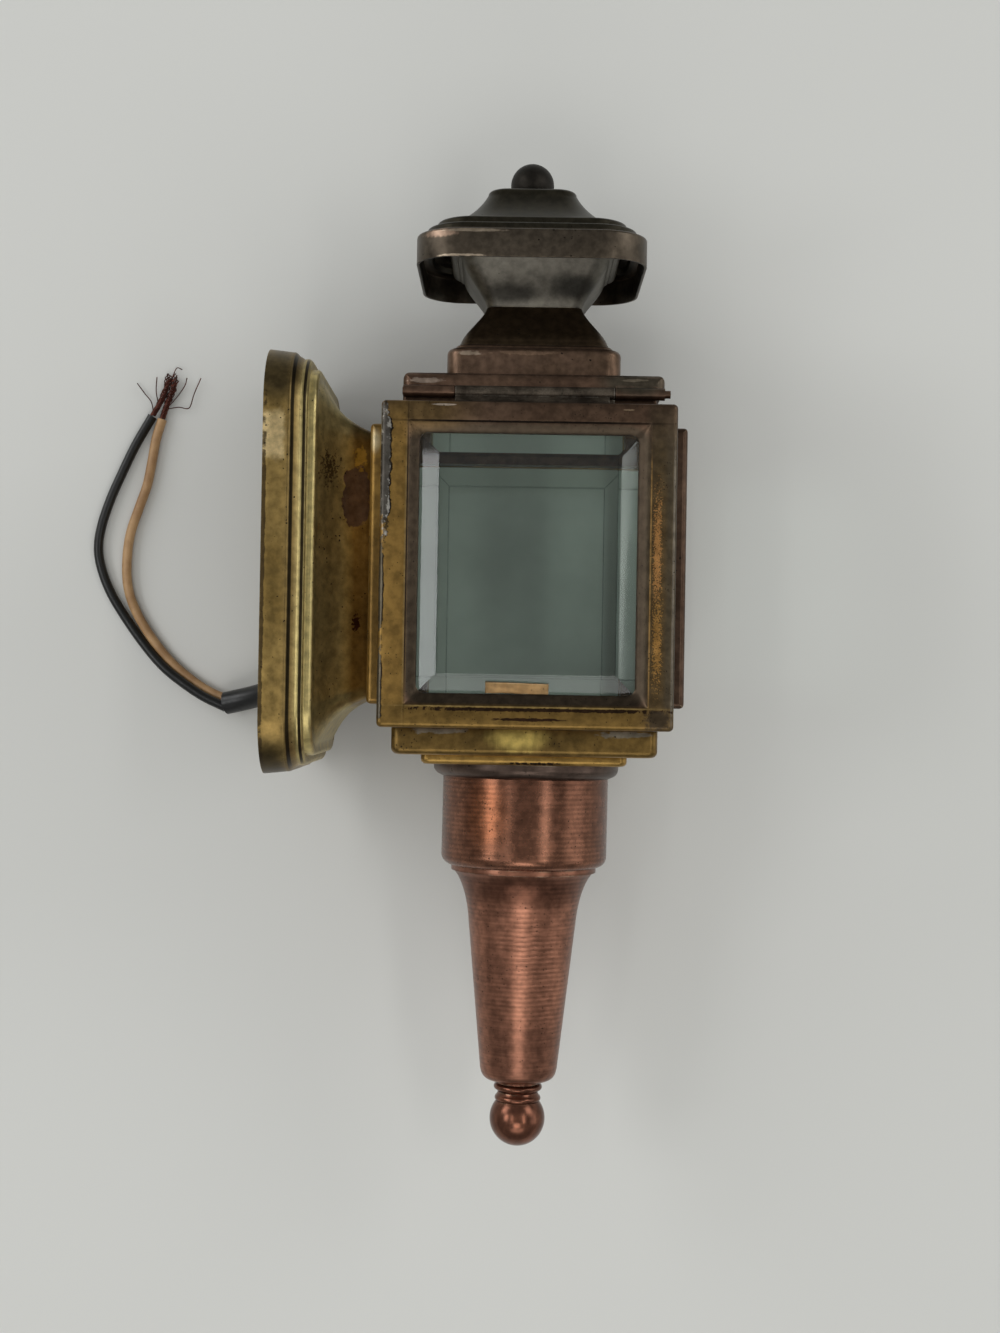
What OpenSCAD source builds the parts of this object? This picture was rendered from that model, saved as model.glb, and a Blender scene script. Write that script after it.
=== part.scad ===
// Square carriage lantern on a wall plate, changed over to a screw-in lamp.
// The origin is midway between the two wall screws, on the wall's surface.
// +X points away from the wall, +Z is up, and the lid's hinge is on the -Y side.

/* [Layout] */
// Distance of the lantern's upright axis from the wall
axis_x = 80; // [76:1:96]
// How far the windows' centre lies below the midpoint of the wall screws
body_drop = 1.2; // [0:0.1:4]
// Thickness of the pressed brass sheet
sheet = 0.8; // [0.6:0.1:1]
// Gap between pieces that slide or swing past each other
slip = 0.4; // [0.3:0.05:0.6]
// Radial running clearance of the hinge pin
pin_play = 0.05; // [0.03:0.01:0.08]

/* [Body and frames] */
// Half width of the folded body case
case_half = 38.6; // [37:0.1:41]
// How far the case's rim is set in where the lid goes over it
rim_in = 1.4; // [1.2:0.1:2]
// Depth of the window frames in front of the case
frame_depth = 9.8; // [8:0.1:12]
// Half width of the front and rear frames
frame_half_w = 44.4; // [42:0.1:48]
// Half height of the front and rear frames
frame_half_h = 49; // [46:0.1:53]
// Gap between the side frames and the back planes of the front and rear frames
side_gap = 1.6; // [0.6:0.1:3]
// Half height of the side frames
side_half_h = 42.8; // [41.6:0.1:45]
// How far the side frames sit above the front frame's centre
side_rise = 0.6; // [0:0.1:1.2]
// Wall of the window frames
frame_wall = 1.6; // [1.2:0.1:2]
// Radius of the front and rear frames' face edges
frame_edge_r = 1.4; // [0.8:0.1:2]
// Radius of the side frames' face edges
side_edge_r = 1.6; // [0.8:0.1:2.4]
// Half width of the front window
window_half_w = 32.9; // [30:0.1:35]
// Half height of the front window
window_half_h = 39.1; // [36:0.1:41]
// How far the front window sits above the frame's centre
window_rise = 0.5; // [0:0.1:1]
// Width of a side frame's border beside its window
side_border = 11; // [9:0.1:14]
// Half height of the side window
side_window_half_h = 33; // [28:0.1:35]
// Width of the sloping band round each window
band_w = 3.6; // [2.4:0.1:4.4]
// Depth of the sloping band in the front and rear frames
band_drop = 2.2; // [1.4:0.1:3]
// Depth of the sloping band in the side frame
side_band_drop = 0.4; // [0.2:0.1:1]

/* [Glass] */
// Thickness of a pane at its edge
pane_edge = 1.8; // [1.4:0.1:2.4]
// Rise of the bevel from a pane's edge to its middle
bevel_rise = 2.7; // [1.6:0.1:3]
// Width of the bevel that shows inside the window
bevel_w = 6; // [4:0.1:8]
// How far a pane reaches behind its frame
pane_lap = 2.4; // [1.6:0.1:3]

/* [Lid] */
// Height of the lid's skirt
lid_h = 4.3; // [3.6:0.1:6]
// How far the lid and chimney sit off the body's axis, along the hinge pin
lid_shift = 1.2; // [0:0.1:1.3]
// Radius of the lid's upper edges
lid_edge_r = 2.6; // [1:0.1:3]
// Half width of the vent hole in the lid
vent_half = 23; // [20:0.5:24]
// Radius of the hinge knuckles
knuckle_r = 1.85; // [1.7:0.05:2.2]
// Radius of the hinge pin
pin_r = 1.2; // [1:0.05:1.3]
// Left end of the fixed middle knuckle, from the lantern's axis
mid_left = 22.6; // [16:0.1:30]
// Right end of the fixed middle knuckle, from the lantern's axis
mid_right = 25.6; // [16:0.1:30]
// Height of the solder bed between the front frame and the knuckles
hinge_gap = 2; // [1.6:0.1:3]
// Length of pin that stands out past the right knuckle
pin_out = 1.5; // [1:0.1:4]

/* [Chimney and canopy] */
// Half width of the chimney's foot and of its upper rim
chimney_half = 27.1; // [25:0.1:29]
// Half width of the chimney's neck
neck_half = 15; // [13:0.1:18]
// Height of the chimney's foot below its shoulder
foot_h = 10.2; // [7:0.1:12]
// Radius of the upper edge of the chimney's foot
foot_edge_r = 1; // [0.6:0.1:2]
// Radius of the chimney's upright corners at its foot
chimney_corner_r = 4.9; // [3.6:0.1:8]
// Height of the hollow curve on the chimney's foot
curve_h = 12.6; // [11:0.1:16]
// Height of the hollow curve of the chimney's flare
flare_curve_h = 13.4; // [11:0.1:16]
// Height of the upright rim on top of the chimney's flare
rim_h = 7; // [5:0.1:9]
// Half width of the canopy
canopy_half = 36; // [34:0.1:40]
// Height of the canopy's skirt
canopy_skirt_h = 9; // [7:0.1:11]
// Radius of the canopy skirt's upper edge
canopy_edge_r = 1.1; // [0.8:0.1:2.4]
// Height of each of the two steps on the canopy
canopy_step_h = 2.7; // [2.2:0.1:4]
// Height of the hollow curve on top of the canopy
canopy_curve_h = 12.7; // [9:0.1:15]
// Half width of the canopy's flat top
canopy_top_half = 12.4; // [10:0.1:14]
// Radius of the ball on top
top_ball_r = 7; // [5:0.1:9]
// How much of that ball is cut off flat for its seat
ball_cut = 2.9; // [1:0.1:4]
// Radius of the rod that ties the canopy to the lid
tie_r = 1.5; // [1.2:0.1:2]
// Width of the bridge strip under the lid
bridge_w = 10; // [8:0.5:14]
// Thickness of the bridge strip
bridge_t = 1.2; // [1:0.1:2]
// How far the bridge strip laps the lid beside the vent hole
bridge_lap = 4; // [3:0.1:6]
// Height of the nut under the bridge strip
tie_nut_h = 2.4; // [2:0.1:3]

/* [Tray and cup] */
// Wall of the tray under the body
tray_wall = 1.8; // [1.2:0.1:2.4]
// Height of the tray
tray_h = 8.1; // [6:0.1:10]
// Thickness of the tray's floor
tray_floor = 1.2; // [0.8:0.1:2]
// Half width of the step plate under the tray
step_half = 31.7; // [30.5:0.1:34]
// Height of the step plate
step_h = 3.1; // [2.4:0.1:4]
// Radius of the opening for the lampholder in tray and step plate
holder_hole_r = 22; // [21.8:0.1:23]
// Radius of the copper cup
cup_r = 26.6; // [25.5:0.1:28]
// Length of the cup below the step plate
cup_h = 33.2; // [28:0.1:38]
// Radius of the cup's lower edge
cup_edge_r = 3.3; // [2:0.1:4]
// How far the collar ring stands out from the cup
collar_out = 3.2; // [2:0.1:3.8]
// Height of the collar ring
collar_h = 4.7; // [3.6:0.1:6]

/* [Tail] */
// Radius of the tail cone's upper band
cone_top_r = 23.3; // [22:0.1:24]
// Height of the upper band
cone_band_h = 1.8; // [1.2:0.1:2.6]
// Radius of the cone below its flare
cone_neck_r = 17.5; // [16:0.1:19]
// Height of the flare under the band
cone_flare_h = 14.2; // [11:0.1:17]
// Radius of the cone near its foot
cone_foot_r = 12.4; // [11.6:0.1:13.4]
// Length of the whole cone
cone_h = 69; // [60:0.5:80]
// Radius of the ball under the tail
tail_ball_r = 8.9; // [7.5:0.1:10]
// Radius of the turned neck where the ball begins
finial_neck_r = 7; // [6:0.1:7.6]
// Height of the turned neck between the cone and the ball
finial_neck_h = 6.9; // [6:0.1:9]

/* [Lampholder] */
// Outer radius of the lampholder
holder_r = 17.7; // [17:0.1:18]
// Length of the lampholder
holder_h = 51; // [46:0.5:54]
// Height of the lampholder's base cap
holder_base_h = 14; // [11:0.5:17]
// Thickness of the porcelain core
core_h = 9; // [8:0.5:10]
// Distance of the core's two lead holes from the axis
core_hole_out = 9; // [8:0.1:10]
// Radius of the core's two lead holes
core_hole_r = 1.8; // [1.7:0.1:2]
// Depth of the recess for the centre contact
contact_well = 3.4; // [3:0.1:5]
// Wall of the lampholder's shell
holder_wall = 1.2; // [1:0.1:1.4]
// Radius of the screw shell's bore
socket_r = 13.3; // [13.2:0.05:13.5]
// Length of the screw shell
socket_h = 23; // [20:0.5:26]
// Outer radius of the threaded stem tube
stem_r = 5; // [4.5:0.1:5.5]
// Wall of the stem tube
stem_wall = 1.3; // [1:0.1:1.6]
// Height of each hexagon nut on the stem
nut_h = 3; // [2.4:0.1:4]

/* [Wall plate] */
// Height of the wall plate
plate_h = 131; // [124:1:140]
// Width of the wall plate
plate_w = 94; // [88:1:100]
// Radius of the wall plate's corners
plate_corner_r = 19; // [15:0.5:22]
// Depth of the wall plate's rim
plate_rim = 8.1; // [6:0.1:9]
// How far the neck lies inside the rim
plate_neck_in = 24; // [22.5:0.1:26]
// Distance between the two wall screws
screw_span = 60; // [50:1:70]
// Radius of the wall screw holes
screw_r = 2.25; // [1.75:0.05:2.75]
// Width of the mounting bar
bar_w = 16; // [12:0.5:20]
// Thickness of the mounting bar
bar_t = 2; // [1.5:0.1:2.5]
// Height of the lead bush above the side frame's lower edge
bush_up = 9; // [8.5:0.1:12]

/* [Hidden] */
$fn = 64;
eps = 0.01;
corner_steps = 5;

// Levels and distances that follow from the sizes above
face_out = case_half + frame_depth;
side_half_w = case_half - side_gap;
side_window_half_w = side_half_w - side_border;
rim_half = case_half - rim_in;
lid_half = case_half + slip + sheet;
hinge_y = -(case_half + knuckle_r + 0.15);
hinge_z = frame_half_h + hinge_gap + knuckle_r;
lid_bottom = hinge_z + knuckle_r - 0.05;
lid_top = lid_bottom + lid_h;
rim_foot = lid_bottom - slip;
case_top = lid_top - sheet - slip;
tray_top = -frame_half_h - 0.2;
tray_bottom = tray_top - tray_h;
case_bottom = tray_bottom + tray_floor;
step_bottom = tray_bottom - step_h;
cup_bottom = step_bottom - cup_h;
cup_floor_top = cup_bottom + sheet;
cone_bottom = cup_bottom - cone_h;
holder_bottom = cup_floor_top + 2 * nut_h + 0.8;
holder_top = holder_bottom + holder_h;
holder_split = holder_bottom + holder_base_h;
core_top = holder_split + core_h;
neck_z = lid_top + foot_h + 2.2 + curve_h;
flare_h = flare_curve_h + 1.2 + rim_h;
flare_top = neck_z + flare_h;
canopy_base = flare_top + sheet + 0.5 - canopy_skirt_h - canopy_step_h;
canopy_top = canopy_base + canopy_skirt_h + 2 * canopy_step_h + canopy_curve_h;
bridge_z = lid_top - sheet - bridge_t;
plate_depth = axis_x - face_out;
bush_r = 4.6;
bush_z = side_rise - side_half_h + bush_up;
tray_half = case_half + tray_wall;
front_land = face_out - band_drop - frame_wall;
side_land = face_out - side_band_drop - frame_wall;

// Routes of the leads behind the plate and outside it, points chosen by hand
lead_r = 1.65;
strand_r = 1;
sleeve_r = 4;
sleeve_route = [[axis_x - face_out + frame_wall + 1.4, 0, bush_z - body_drop],
    [axis_x - face_out - 1, 0, bush_z - body_drop], [24, 2.4, -36], [16, 10, -37],
    [8, 20, -38], [0, 30, -39.5], [-8, 37, -41], [-16, 41.5, -43], [-23, 43.6, -44.6]];
black_route = [[-23, 42.6, -46], [-31, 43.6, -42.4], [-38, 44.3, -38], [-45, 45, -32.6],
    [-51.5, 46, -25.6], [-58, 46.6, -17], [-64, 46.6, -7.6], [-67.6, 46.6, 1],
    [-69, 46.6, 8.5], [-68, 46.6, 16.5], [-65, 46.6, 26], [-61.2, 46.6, 35],
    [-56.6, 46.6, 45], [-51, 46.6, 55]];
tan_route = [[-23, 45.4, -43.2], [-28, 46, -41.3], [-33.5, 46.4, -38.2], [-41.5, 46.6, -32],
    [-48, 46.6, -24.8], [-54.2, 46.6, -15.6], [-58, 46.6, -6.6], [-59, 46.6, 3],
    [-58, 46.6, 13.5], [-55.2, 46.6, 22.6], [-52.4, 46.6, 31], [-50.8, 46.6, 39.6],
    [-49.6, 46.6, 47], [-47.6, 46.6, 54]];
black_end_route = [[-51, 46.6, 55], [-48, 46.6, 60.5], [-46, 46.6, 66], [-45.6, 46.6, 70]];
tan_end_route = [[-47.6, 46.6, 54], [-46, 46.6, 59], [-44, 46.6, 64.5], [-43, 46.6, 70]];

// Evenly spaced points on an arc
function arc(c, r, a0, a1, n) =
    [for (i = [0:n]) let (a = a0 + (a1 - a0) * i / n) [c[0] + r * cos(a), c[1] + r * sin(a)]];

// Points on a cubic curve
function curve(p0, p1, p2, p3, n) =
    [for (i = [0:n]) let (t = i / n, s = 1 - t)
        s * s * s * p0 + 3 * s * s * t * p1 + 3 * s * t * t * p2 + t * t * t * p3];

function unit(v) = v / norm(v);
function side_of(v) = unit([v[1], -v[0]]);
function reverse(l) = [for (i = [len(l) - 1:-1:0]) l[i]];

// Inner face of a sheet whose outer face is the profile p, thickness t
function inner_face(p, t) =
    [for (i = [0:len(p) - 1]) let (
        a = side_of(p[max(i, 1)] - p[max(i, 1) - 1]),
        b = side_of(p[min(i, len(p) - 2) + 1] - p[min(i, len(p) - 2)]),
        m = unit(a + b))
        p[i] - m * min(t / max(m * a, 0.55), 1.5 * t)];

// Points of a rounded rectangle
function round_ring(hx, hy, r, z) =
    [for (q = [0:3], i = [0:corner_steps])
        let (a = 90 * (q + i / corner_steps), sx = (q == 0 || q == 3) ? 1 : -1, sy = q < 2 ? 1 : -1)
        [sx * (hx - r) + r * cos(a), sy * (hy - r) + r * sin(a), z]];

// Skin over equal rings: closed on itself as a tube wall, or capped at both ends
module skin(rings, looped) {
    n = len(rings[0]);
    m = len(rings);
    last = looped ? m - 1 : m - 2;
    walls = [for (i = [0:last], j = [0:n - 1])
        let (k = (i + 1) % m, j2 = (j + 1) % n)
        [i * n + j, k * n + j, k * n + j2, i * n + j2]];
    caps = looped ? [] : [[for (j = [0:n - 1]) j], [for (j = [n - 1:-1:0]) (m - 1) * n + j]];
    polyhedron(points = [for (r = rings, p = r) p], faces = concat(walls, caps), convexity = 8);
}

// Square pressing: a profile of [half width, height], with corners that shrink with it
module square_shell(outer, t, corner_r, shrink, top_closed) {
    inner = inner_face(outer, t);
    wide = outer[0][0];
    rings = [for (p = concat(reverse(inner), outer))
        round_ring(p[0], p[0], max(corner_r - shrink * (wide - p[0]), 1), p[1])];
    skin(rings, !top_closed);
}

// Square swept along a route, for the leads
module swept_tube(route, r, sides) {
    rings = [for (i = [0:len(route) - 1]) let (
        d = unit(route[min(i + 1, len(route) - 1)] - route[max(i - 1, 0)]),
        u = unit(cross(d, [0, 1, 0])), v = cross(u, d))
        [for (k = [0:sides - 1]) let (a = -360 * k / sides)
            route[i] + r * (cos(a) * u + sin(a) * v)]];
    skin(rings, false);
}

module round_rect(w, h, r) {
    square([w - 2 * r, h], center = true);
    square([w, h - 2 * r], center = true);
    for (x = [-1, 1], y = [-1, 1])
        translate([x * (w / 2 - r), y * (h / 2 - r)]) circle(r);
}

// Side view of a block whose two front corners are rounded; the front is at -depth
module front_rounded(half, depth, r) {
    translate([-half, r - depth]) square([2 * half, depth - r]);
    translate([r - half, -depth]) square([2 * (half - r), r + eps]);
    for (s = [-1, 1]) translate([s * (half - r), r - depth]) circle(r);
}

// Block with rounded face edges and corners; its face looks along -Y
module edge_block(hw, hh, depth, edge_r, corner_r) {
    intersection() {
        rotate([90, 0, 0]) linear_extrude(depth) round_rect(2 * hw, 2 * hh, corner_r);
        linear_extrude(2 * hh + 2, center = true) front_rounded(hw, depth, edge_r);
        rotate([0, -90, 0]) linear_extrude(2 * hw + 2, center = true)
            front_rounded(hh, depth, edge_r);
    }
}

// Four-sided wedge from half sizes a at y = 0 to half sizes b at y = -d
module taper(a, b, d) {
    intersection() {
        linear_extrude(2 * max(a[1], b[1]) + 2, center = true)
            polygon([[-a[0], 0], [a[0], 0], [b[0], -d], [-b[0], -d]]);
        rotate([0, -90, 0]) linear_extrude(2 * max(a[0], b[0]) + 2, center = true)
            polygon([[-a[1], 0], [a[1], 0], [b[1], -d], [-b[1], -d]]);
    }
}

// Box given by half sizes in x and z, from y0 to y1
module slab(hw, hh, y0, y1) {
    translate([-hw, y0, -hh]) cube([2 * hw, y1 - y0, 2 * hh]);
}

// Window frame that stands on the case and looks along -Y
module window_frame(hw, hh, edge_r, win, rise, drop) {
    land = frame_depth - drop - frame_wall;
    difference() {
        edge_block(hw, hh, frame_depth, edge_r, edge_r);
        slab(hw - frame_wall, hh - frame_wall, -land, 1);
        translate([0, 0, rise]) {
            slab(win[0], win[1], -frame_depth - 1, 1);
            translate([0, -frame_depth + drop, 0])
                taper(win, win + (1 + eps) * [band_w, band_w], drop + eps);
        }
    }
}

// Bevelled pane; the edge's outer face is at y = 0 and the middle stands out along -Y
module pane(win) {
    edge = win + [pane_lap, pane_lap];
    middle = win - [bevel_w, bevel_w];
    slab(edge[0], edge[1], 0, pane_edge);
    slab(win[0] - 0.1, win[1] - 0.1, -0.2, eps);
    translate([0, -0.2 + eps, 0]) taper(win - [0.1, 0.1], middle, bevel_rise - 0.2);
}

// Strip bed that holds a pane against its frame
module bed(win, depth) {
    edge = win + [pane_lap, pane_lap];
    difference() {
        slab(edge[0], edge[1], 0, depth);
        slab(win[0] + 0.4, win[1] + 0.4, -1, depth + 1);
    }
}

// Places a child given about the lantern's axis and the frames' centre
module on_body() {
    translate([axis_x, 0, -body_drop]) children();
}

// Moves a child out to the given distance in front of the axis
module at_front(out) {
    translate([0, -out, 0]) children();
}

module hex_nut(r, h) {
    difference() {
        cylinder(r = 1.7 * r, h = h, $fn = 6);
        translate([0, 0, -1]) cylinder(r = r + 0.05, h = h + 2);
    }
}

function plate_profile() = let (
    d = plate_depth, rim = plate_rim, n = plate_neck_in)
    concat([[0, 0], [0.75, rim - 0.8]],
        arc([1.6 + 0.6, rim - 0.8], 1.5, 180, 110, 3),
        [[2.5, rim + 2.1]],
        arc([4.2, rim + 3.4], 1.6, 215, 90, 4),
        [[5.6, rim + 4.4]],
        arc([7, rim + 6.2], 1.3, 200, 70, 3),
        curve([9, rim + 7.4], [12, rim + 9.2], [16.4, rim + 11], [19.6, rim + 15], 5),
        [[22.2, rim + 19.2], [n, d]]);

// Rounded rectangular pressing, open at the wall and at the neck
module wall_plate() {
    outer = plate_profile();
    section = concat(outer, reverse([for (p = inner_face([for (q = outer) [-q[0], q[1]]], sheet))
        [-p[0], p[1]]]));
    color("darkgoldenrod") rotate([0, 90, 0])
        skin([for (p = section) round_ring(plate_h / 2 - p[0], plate_w / 2 - p[0],
            max(plate_corner_r - 0.62 * p[0], 2), min(max(p[1], 0), plate_depth))], true);
}

// Bar across the open back, with two wall screw holes and turned-up ends
module mounting_bar() {
    reach = plate_h / 2 - sheet - 0.95;
    color("silver") difference() {
        union() {
            translate([0, -bar_w / 2, -reach]) cube([bar_t, bar_w, 2 * reach]);
            for (s = [-1, 1])
                translate([0, -bar_w / 2, s * (reach - bar_t / 2) - bar_t / 2])
                    cube([plate_rim - 1, bar_w, bar_t]);
        }
        for (s = [-1, 1])
            translate([-1, 0, s * screw_span / 2]) rotate([0, 90, 0])
                cylinder(r = screw_r, h = bar_t + 2);
    }
}

// Frame pressing on the wall side: blind, with the hole for the leads
module wall_frame() {
    color("goldenrod") on_body() rotate([0, 0, -90]) at_front(case_half)
        translate([0, 0, side_rise]) difference() {
            edge_block(side_half_w, side_half_h, frame_depth, side_edge_r, side_edge_r);
            slab(side_half_w - frame_wall, side_half_h - frame_wall, frame_wall - frame_depth, 1);
            translate([0, 0, bush_z - side_rise]) rotate([90, 0, 0])
                cylinder(r = bush_r + 0.05, h = 2 * frame_depth);
        }
}

// Flanged bush for the leads in the wall-side frame
module lead_bush() {
    color("black") on_body() translate([-face_out, 0, bush_z]) rotate([0, 90, 0])
        rotate_extrude() polygon([[sleeve_r - 0.6, 0], [bush_r, 0], [bush_r, frame_wall],
            [bush_r + 1.6, frame_wall], [bush_r + 1.6, frame_wall + 1.4],
            [sleeve_r - 0.6, frame_wall + 1.4]]);
}

// Folded square case with a set-in rim, its window openings and the lead hole
module body_case() {
    h = case_top - case_bottom;
    inside = case_half - sheet;
    open_w = window_half_w + 0.4;
    open_h = window_half_h + 0.4;
    side_w = side_window_half_w + 0.4;
    side_h = side_window_half_h + 0.4;
    color("peru") on_body() difference() {
        union() {
            translate([0, 0, case_bottom]) linear_extrude(rim_foot - case_bottom)
                round_rect(2 * case_half, 2 * case_half, 1);
            translate([0, 0, rim_foot - eps]) linear_extrude(case_top - rim_foot)
                round_rect(2 * rim_half, 2 * rim_half, 1);
        }
        translate([-inside, -inside, case_bottom - 1])
            cube([2 * inside, 2 * inside, rim_foot - sheet - case_bottom + 1]);
        translate([sheet - rim_half, sheet - rim_half, case_bottom - 1])
            cube([2 * (rim_half - sheet), 2 * (rim_half - sheet), h + 2]);
        translate([0, 0, window_rise]) slab(open_w, open_h, -case_half - 1, case_half + 1);
        translate([0, 0, side_rise]) rotate([0, 0, 90])
            slab(side_w, side_h, -case_half - 1, 0);
        translate([-case_half - 1, 0, bush_z]) rotate([0, 90, 0])
            cylinder(r = bush_r + 2.4, h = 3);
    }
}

module front_frame() {
    color("darkgoldenrod") on_body() at_front(case_half)
        window_frame(frame_half_w, frame_half_h, frame_edge_r,
            [window_half_w, window_half_h], window_rise, band_drop);
}

module rear_frame() {
    color("darkgoldenrod") on_body() rotate([0, 0, 180]) at_front(case_half)
        window_frame(frame_half_w, frame_half_h, frame_edge_r,
            [window_half_w, window_half_h], window_rise, band_drop);
}

module outer_frame() {
    color("sienna") on_body() translate([0, 0, side_rise]) rotate([0, 0, 90]) at_front(case_half)
        window_frame(side_half_w, side_half_h, side_edge_r,
            [side_window_half_w, side_window_half_h], 0, side_band_drop);
}

module front_glass() {
    color("lightcyan") on_body() translate([0, 0, window_rise]) at_front(front_land)
        pane([window_half_w, window_half_h]);
}

module rear_glass() {
    color("lightcyan") on_body() translate([0, 0, window_rise]) rotate([0, 0, 180])
        at_front(front_land) pane([window_half_w, window_half_h]);
}

module outer_glass() {
    color("lightcyan") on_body() translate([0, 0, side_rise]) rotate([0, 0, 90])
        at_front(side_land) pane([side_window_half_w, side_window_half_h]);
}

// One strip bed behind each pane
module glass_beds() {
    front_depth = front_land - pane_edge - case_half;
    side_depth = side_land - pane_edge - case_half;
    color("tan") on_body() {
        for (turn = [0, 180])
            translate([0, 0, window_rise]) rotate([0, 0, turn])
                at_front(front_land - pane_edge) bed([window_half_w, window_half_h], front_depth);
        translate([0, 0, side_rise]) rotate([0, 0, 90]) at_front(side_land - pane_edge)
            bed([side_window_half_w, side_window_half_h], side_depth);
    }
}

// Folded clip that stands behind the lower edge of the front pane, on its strip bed
module glass_clip() {
    clip_w = 18.7;
    clip_left = -13.6;
    clip_h = 3.6;
    bed_top = window_rise - window_half_h - 0.4;
    back = -front_land + pane_edge + 0.05;
    color("tan") on_body() translate([clip_left, back, bed_top]) {
        cube([clip_w, sheet, clip_h]);
        cube([clip_w, -back - case_half + sheet, sheet]);
    }
}

// Shallow tray that closes the body below
module bottom_tray() {
    color("goldenrod") on_body() difference() {
        translate([0, 0, tray_top]) rotate([90, 0, 0])
            edge_block(tray_half, tray_half, tray_h, 2, 2);
        translate([-case_half, -case_half, case_bottom])
            cube([2 * case_half, 2 * case_half, tray_h + 1]);
        translate([0, 0, tray_bottom - 1]) cylinder(r = holder_hole_r, h = tray_h);
    }
}

module step_plate() {
    color("goldenrod") on_body() difference() {
        translate([0, 0, tray_bottom]) rotate([90, 0, 0])
            edge_block(step_half, step_half, step_h, 1, 1.6);
        translate([0, 0, step_bottom - 1]) cylinder(r = holder_hole_r, h = step_h + 2);
    }
}

// Quarter-round ring where the cup meets the step plate
module collar_ring() {
    foot = step_bottom - collar_h;
    color("rosybrown") on_body() rotate_extrude()
        polygon(concat([[cup_r, foot], [cup_r + 0.4, foot]],
            arc([cup_r + 0.4, step_bottom - 1.6], collar_out - 0.4, -70, 0, 8),
            [[cup_r + collar_out, step_bottom], [cup_r, step_bottom]]));
}

function cup_profile() = concat([[stem_r + 0.1, cup_bottom]],
    arc([cup_r - cup_edge_r, cup_bottom + cup_edge_r], cup_edge_r, -90, 0, 8),
    [[cup_r, step_bottom]]);

module copper_cup() {
    outer = cup_profile();
    color("indianred") on_body() rotate_extrude()
        polygon(concat(outer, reverse(inner_face(outer, sheet))));
}

// Outer line of the tail cone, from its foot up to the band under the cup
function cone_profile() = let (
    top = cup_bottom, band = top - cone_band_h, flare = top - cone_band_h - cone_flare_h)
    concat([[stem_r + 0.1, cone_bottom], [cone_foot_r - 3.8, cone_bottom]],
        curve([cone_foot_r - 2.4, cone_bottom + 0.2], [cone_foot_r - 0.9, cone_bottom + 0.8],
            [cone_foot_r - 0.3, cone_bottom + 2], [cone_foot_r, cone_bottom + 4], 4),
        reverse(curve([cone_top_r - 0.7, band], [cone_neck_r + 2.6, band - 2.4],
            [cone_neck_r + 0.7, flare + 6], [cone_neck_r, flare], 8)),
        [[cone_top_r, band + 0.1], [cone_top_r, top]]);

module tail_cone() {
    outer = cone_profile();
    color("indianred") on_body() rotate_extrude()
        polygon(concat(outer, reverse(inner_face(outer, sheet))));
}

// Turned knob that screws onto the stem and draws the tail together
module tail_finial() {
    top = cone_bottom;
    neck = top - finial_neck_h;
    ball_z = neck - sqrt(pow(tail_ball_r, 2) - pow(finial_neck_r, 2));
    depth = 8;
    color("indianred") on_body() rotate_extrude()
        polygon(concat([[stem_r + 0.05, top], [6.6, top], [6.6, top - 1.2]],
            arc([6.8, top - 2.3], 1, 80, -80, 5),
            [[6.4, top - 4]],
            arc([6.3, top - 5.9], 1.1, 60, -60, 5),
            arc([0, ball_z], tail_ball_r, acos(finial_neck_r / tail_ball_r), -90, 22),
            [[0, top - depth], [stem_r + 0.05, top - depth]]));
}

// Threaded tube that carries the lampholder and holds cup, cone and knob together
module stem_tube() {
    low = cone_bottom - 7.5;
    color("silver") on_body() translate([0, 0, low]) difference() {
        cylinder(r = stem_r, h = holder_bottom + 6 - low);
        translate([0, 0, -1]) cylinder(r = stem_r - stem_wall, h = holder_bottom + 8 - low);
    }
}

module stem_nuts() {
    color("gold") on_body() for (z = [cup_floor_top, holder_bottom - nut_h])
        translate([0, 0, z]) hex_nut(stem_r, nut_h);
}

module lampholder_shell() {
    color("dimgray") on_body() rotate_extrude()
        polygon([[holder_r - holder_wall, holder_split], [holder_r, holder_split],
            [holder_r, holder_top - 1.4], [holder_r + 0.5, holder_top - 0.9],
            [holder_r + 0.4, holder_top - 0.2], [holder_r, holder_top],
            [socket_r + 1.6, holder_top], [socket_r + 1.6, holder_top - 1.2],
            [holder_r - holder_wall, holder_top - 1.2]]);
}

// Cap under the shell, screwed to the stem
module lampholder_base() {
    outer = concat([[stem_r + 0.05, holder_bottom], [stem_r + 3, holder_bottom],
        [stem_r + 3, holder_bottom + 4]],
        curve([stem_r + 5, holder_bottom + 4.4], [stem_r + 9, holder_bottom + 5.6],
            [holder_r - 0.2, holder_bottom + 8], [holder_r, holder_split], 6));
    color("dimgray") on_body() rotate_extrude()
        polygon(concat(outer, [[holder_r - holder_wall, holder_split],
            [holder_r - holder_wall - 1.2, holder_bottom + 9.6], [stem_r + 5, holder_bottom + 6],
            [stem_r + 0.05, holder_bottom + 6]]));
}

// Insulator that carries the screw shell, with a well for the centre contact
module porcelain_core() {
    body_r = holder_r - holder_wall - 0.1;
    color("white") on_body() difference() {
        translate([0, 0, holder_split]) cylinder(r = body_r, h = core_h);
        translate([0, 0, core_top - contact_well]) cylinder(r = core_hole_out - core_hole_r - 0.4,
            h = contact_well + 1);
        for (a = [0, 180]) rotate([0, 0, a]) translate([core_hole_out, 0, holder_split - 1])
            cylinder(r = core_hole_r, h = core_h + 2);
    }
}

module screw_shell() {
    color("gold") on_body() translate([0, 0, core_top]) difference() {
        cylinder(r = socket_r + 0.6, h = socket_h);
        translate([0, 0, -1]) cylinder(r = socket_r, h = socket_h + 2);
    }
}

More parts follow.
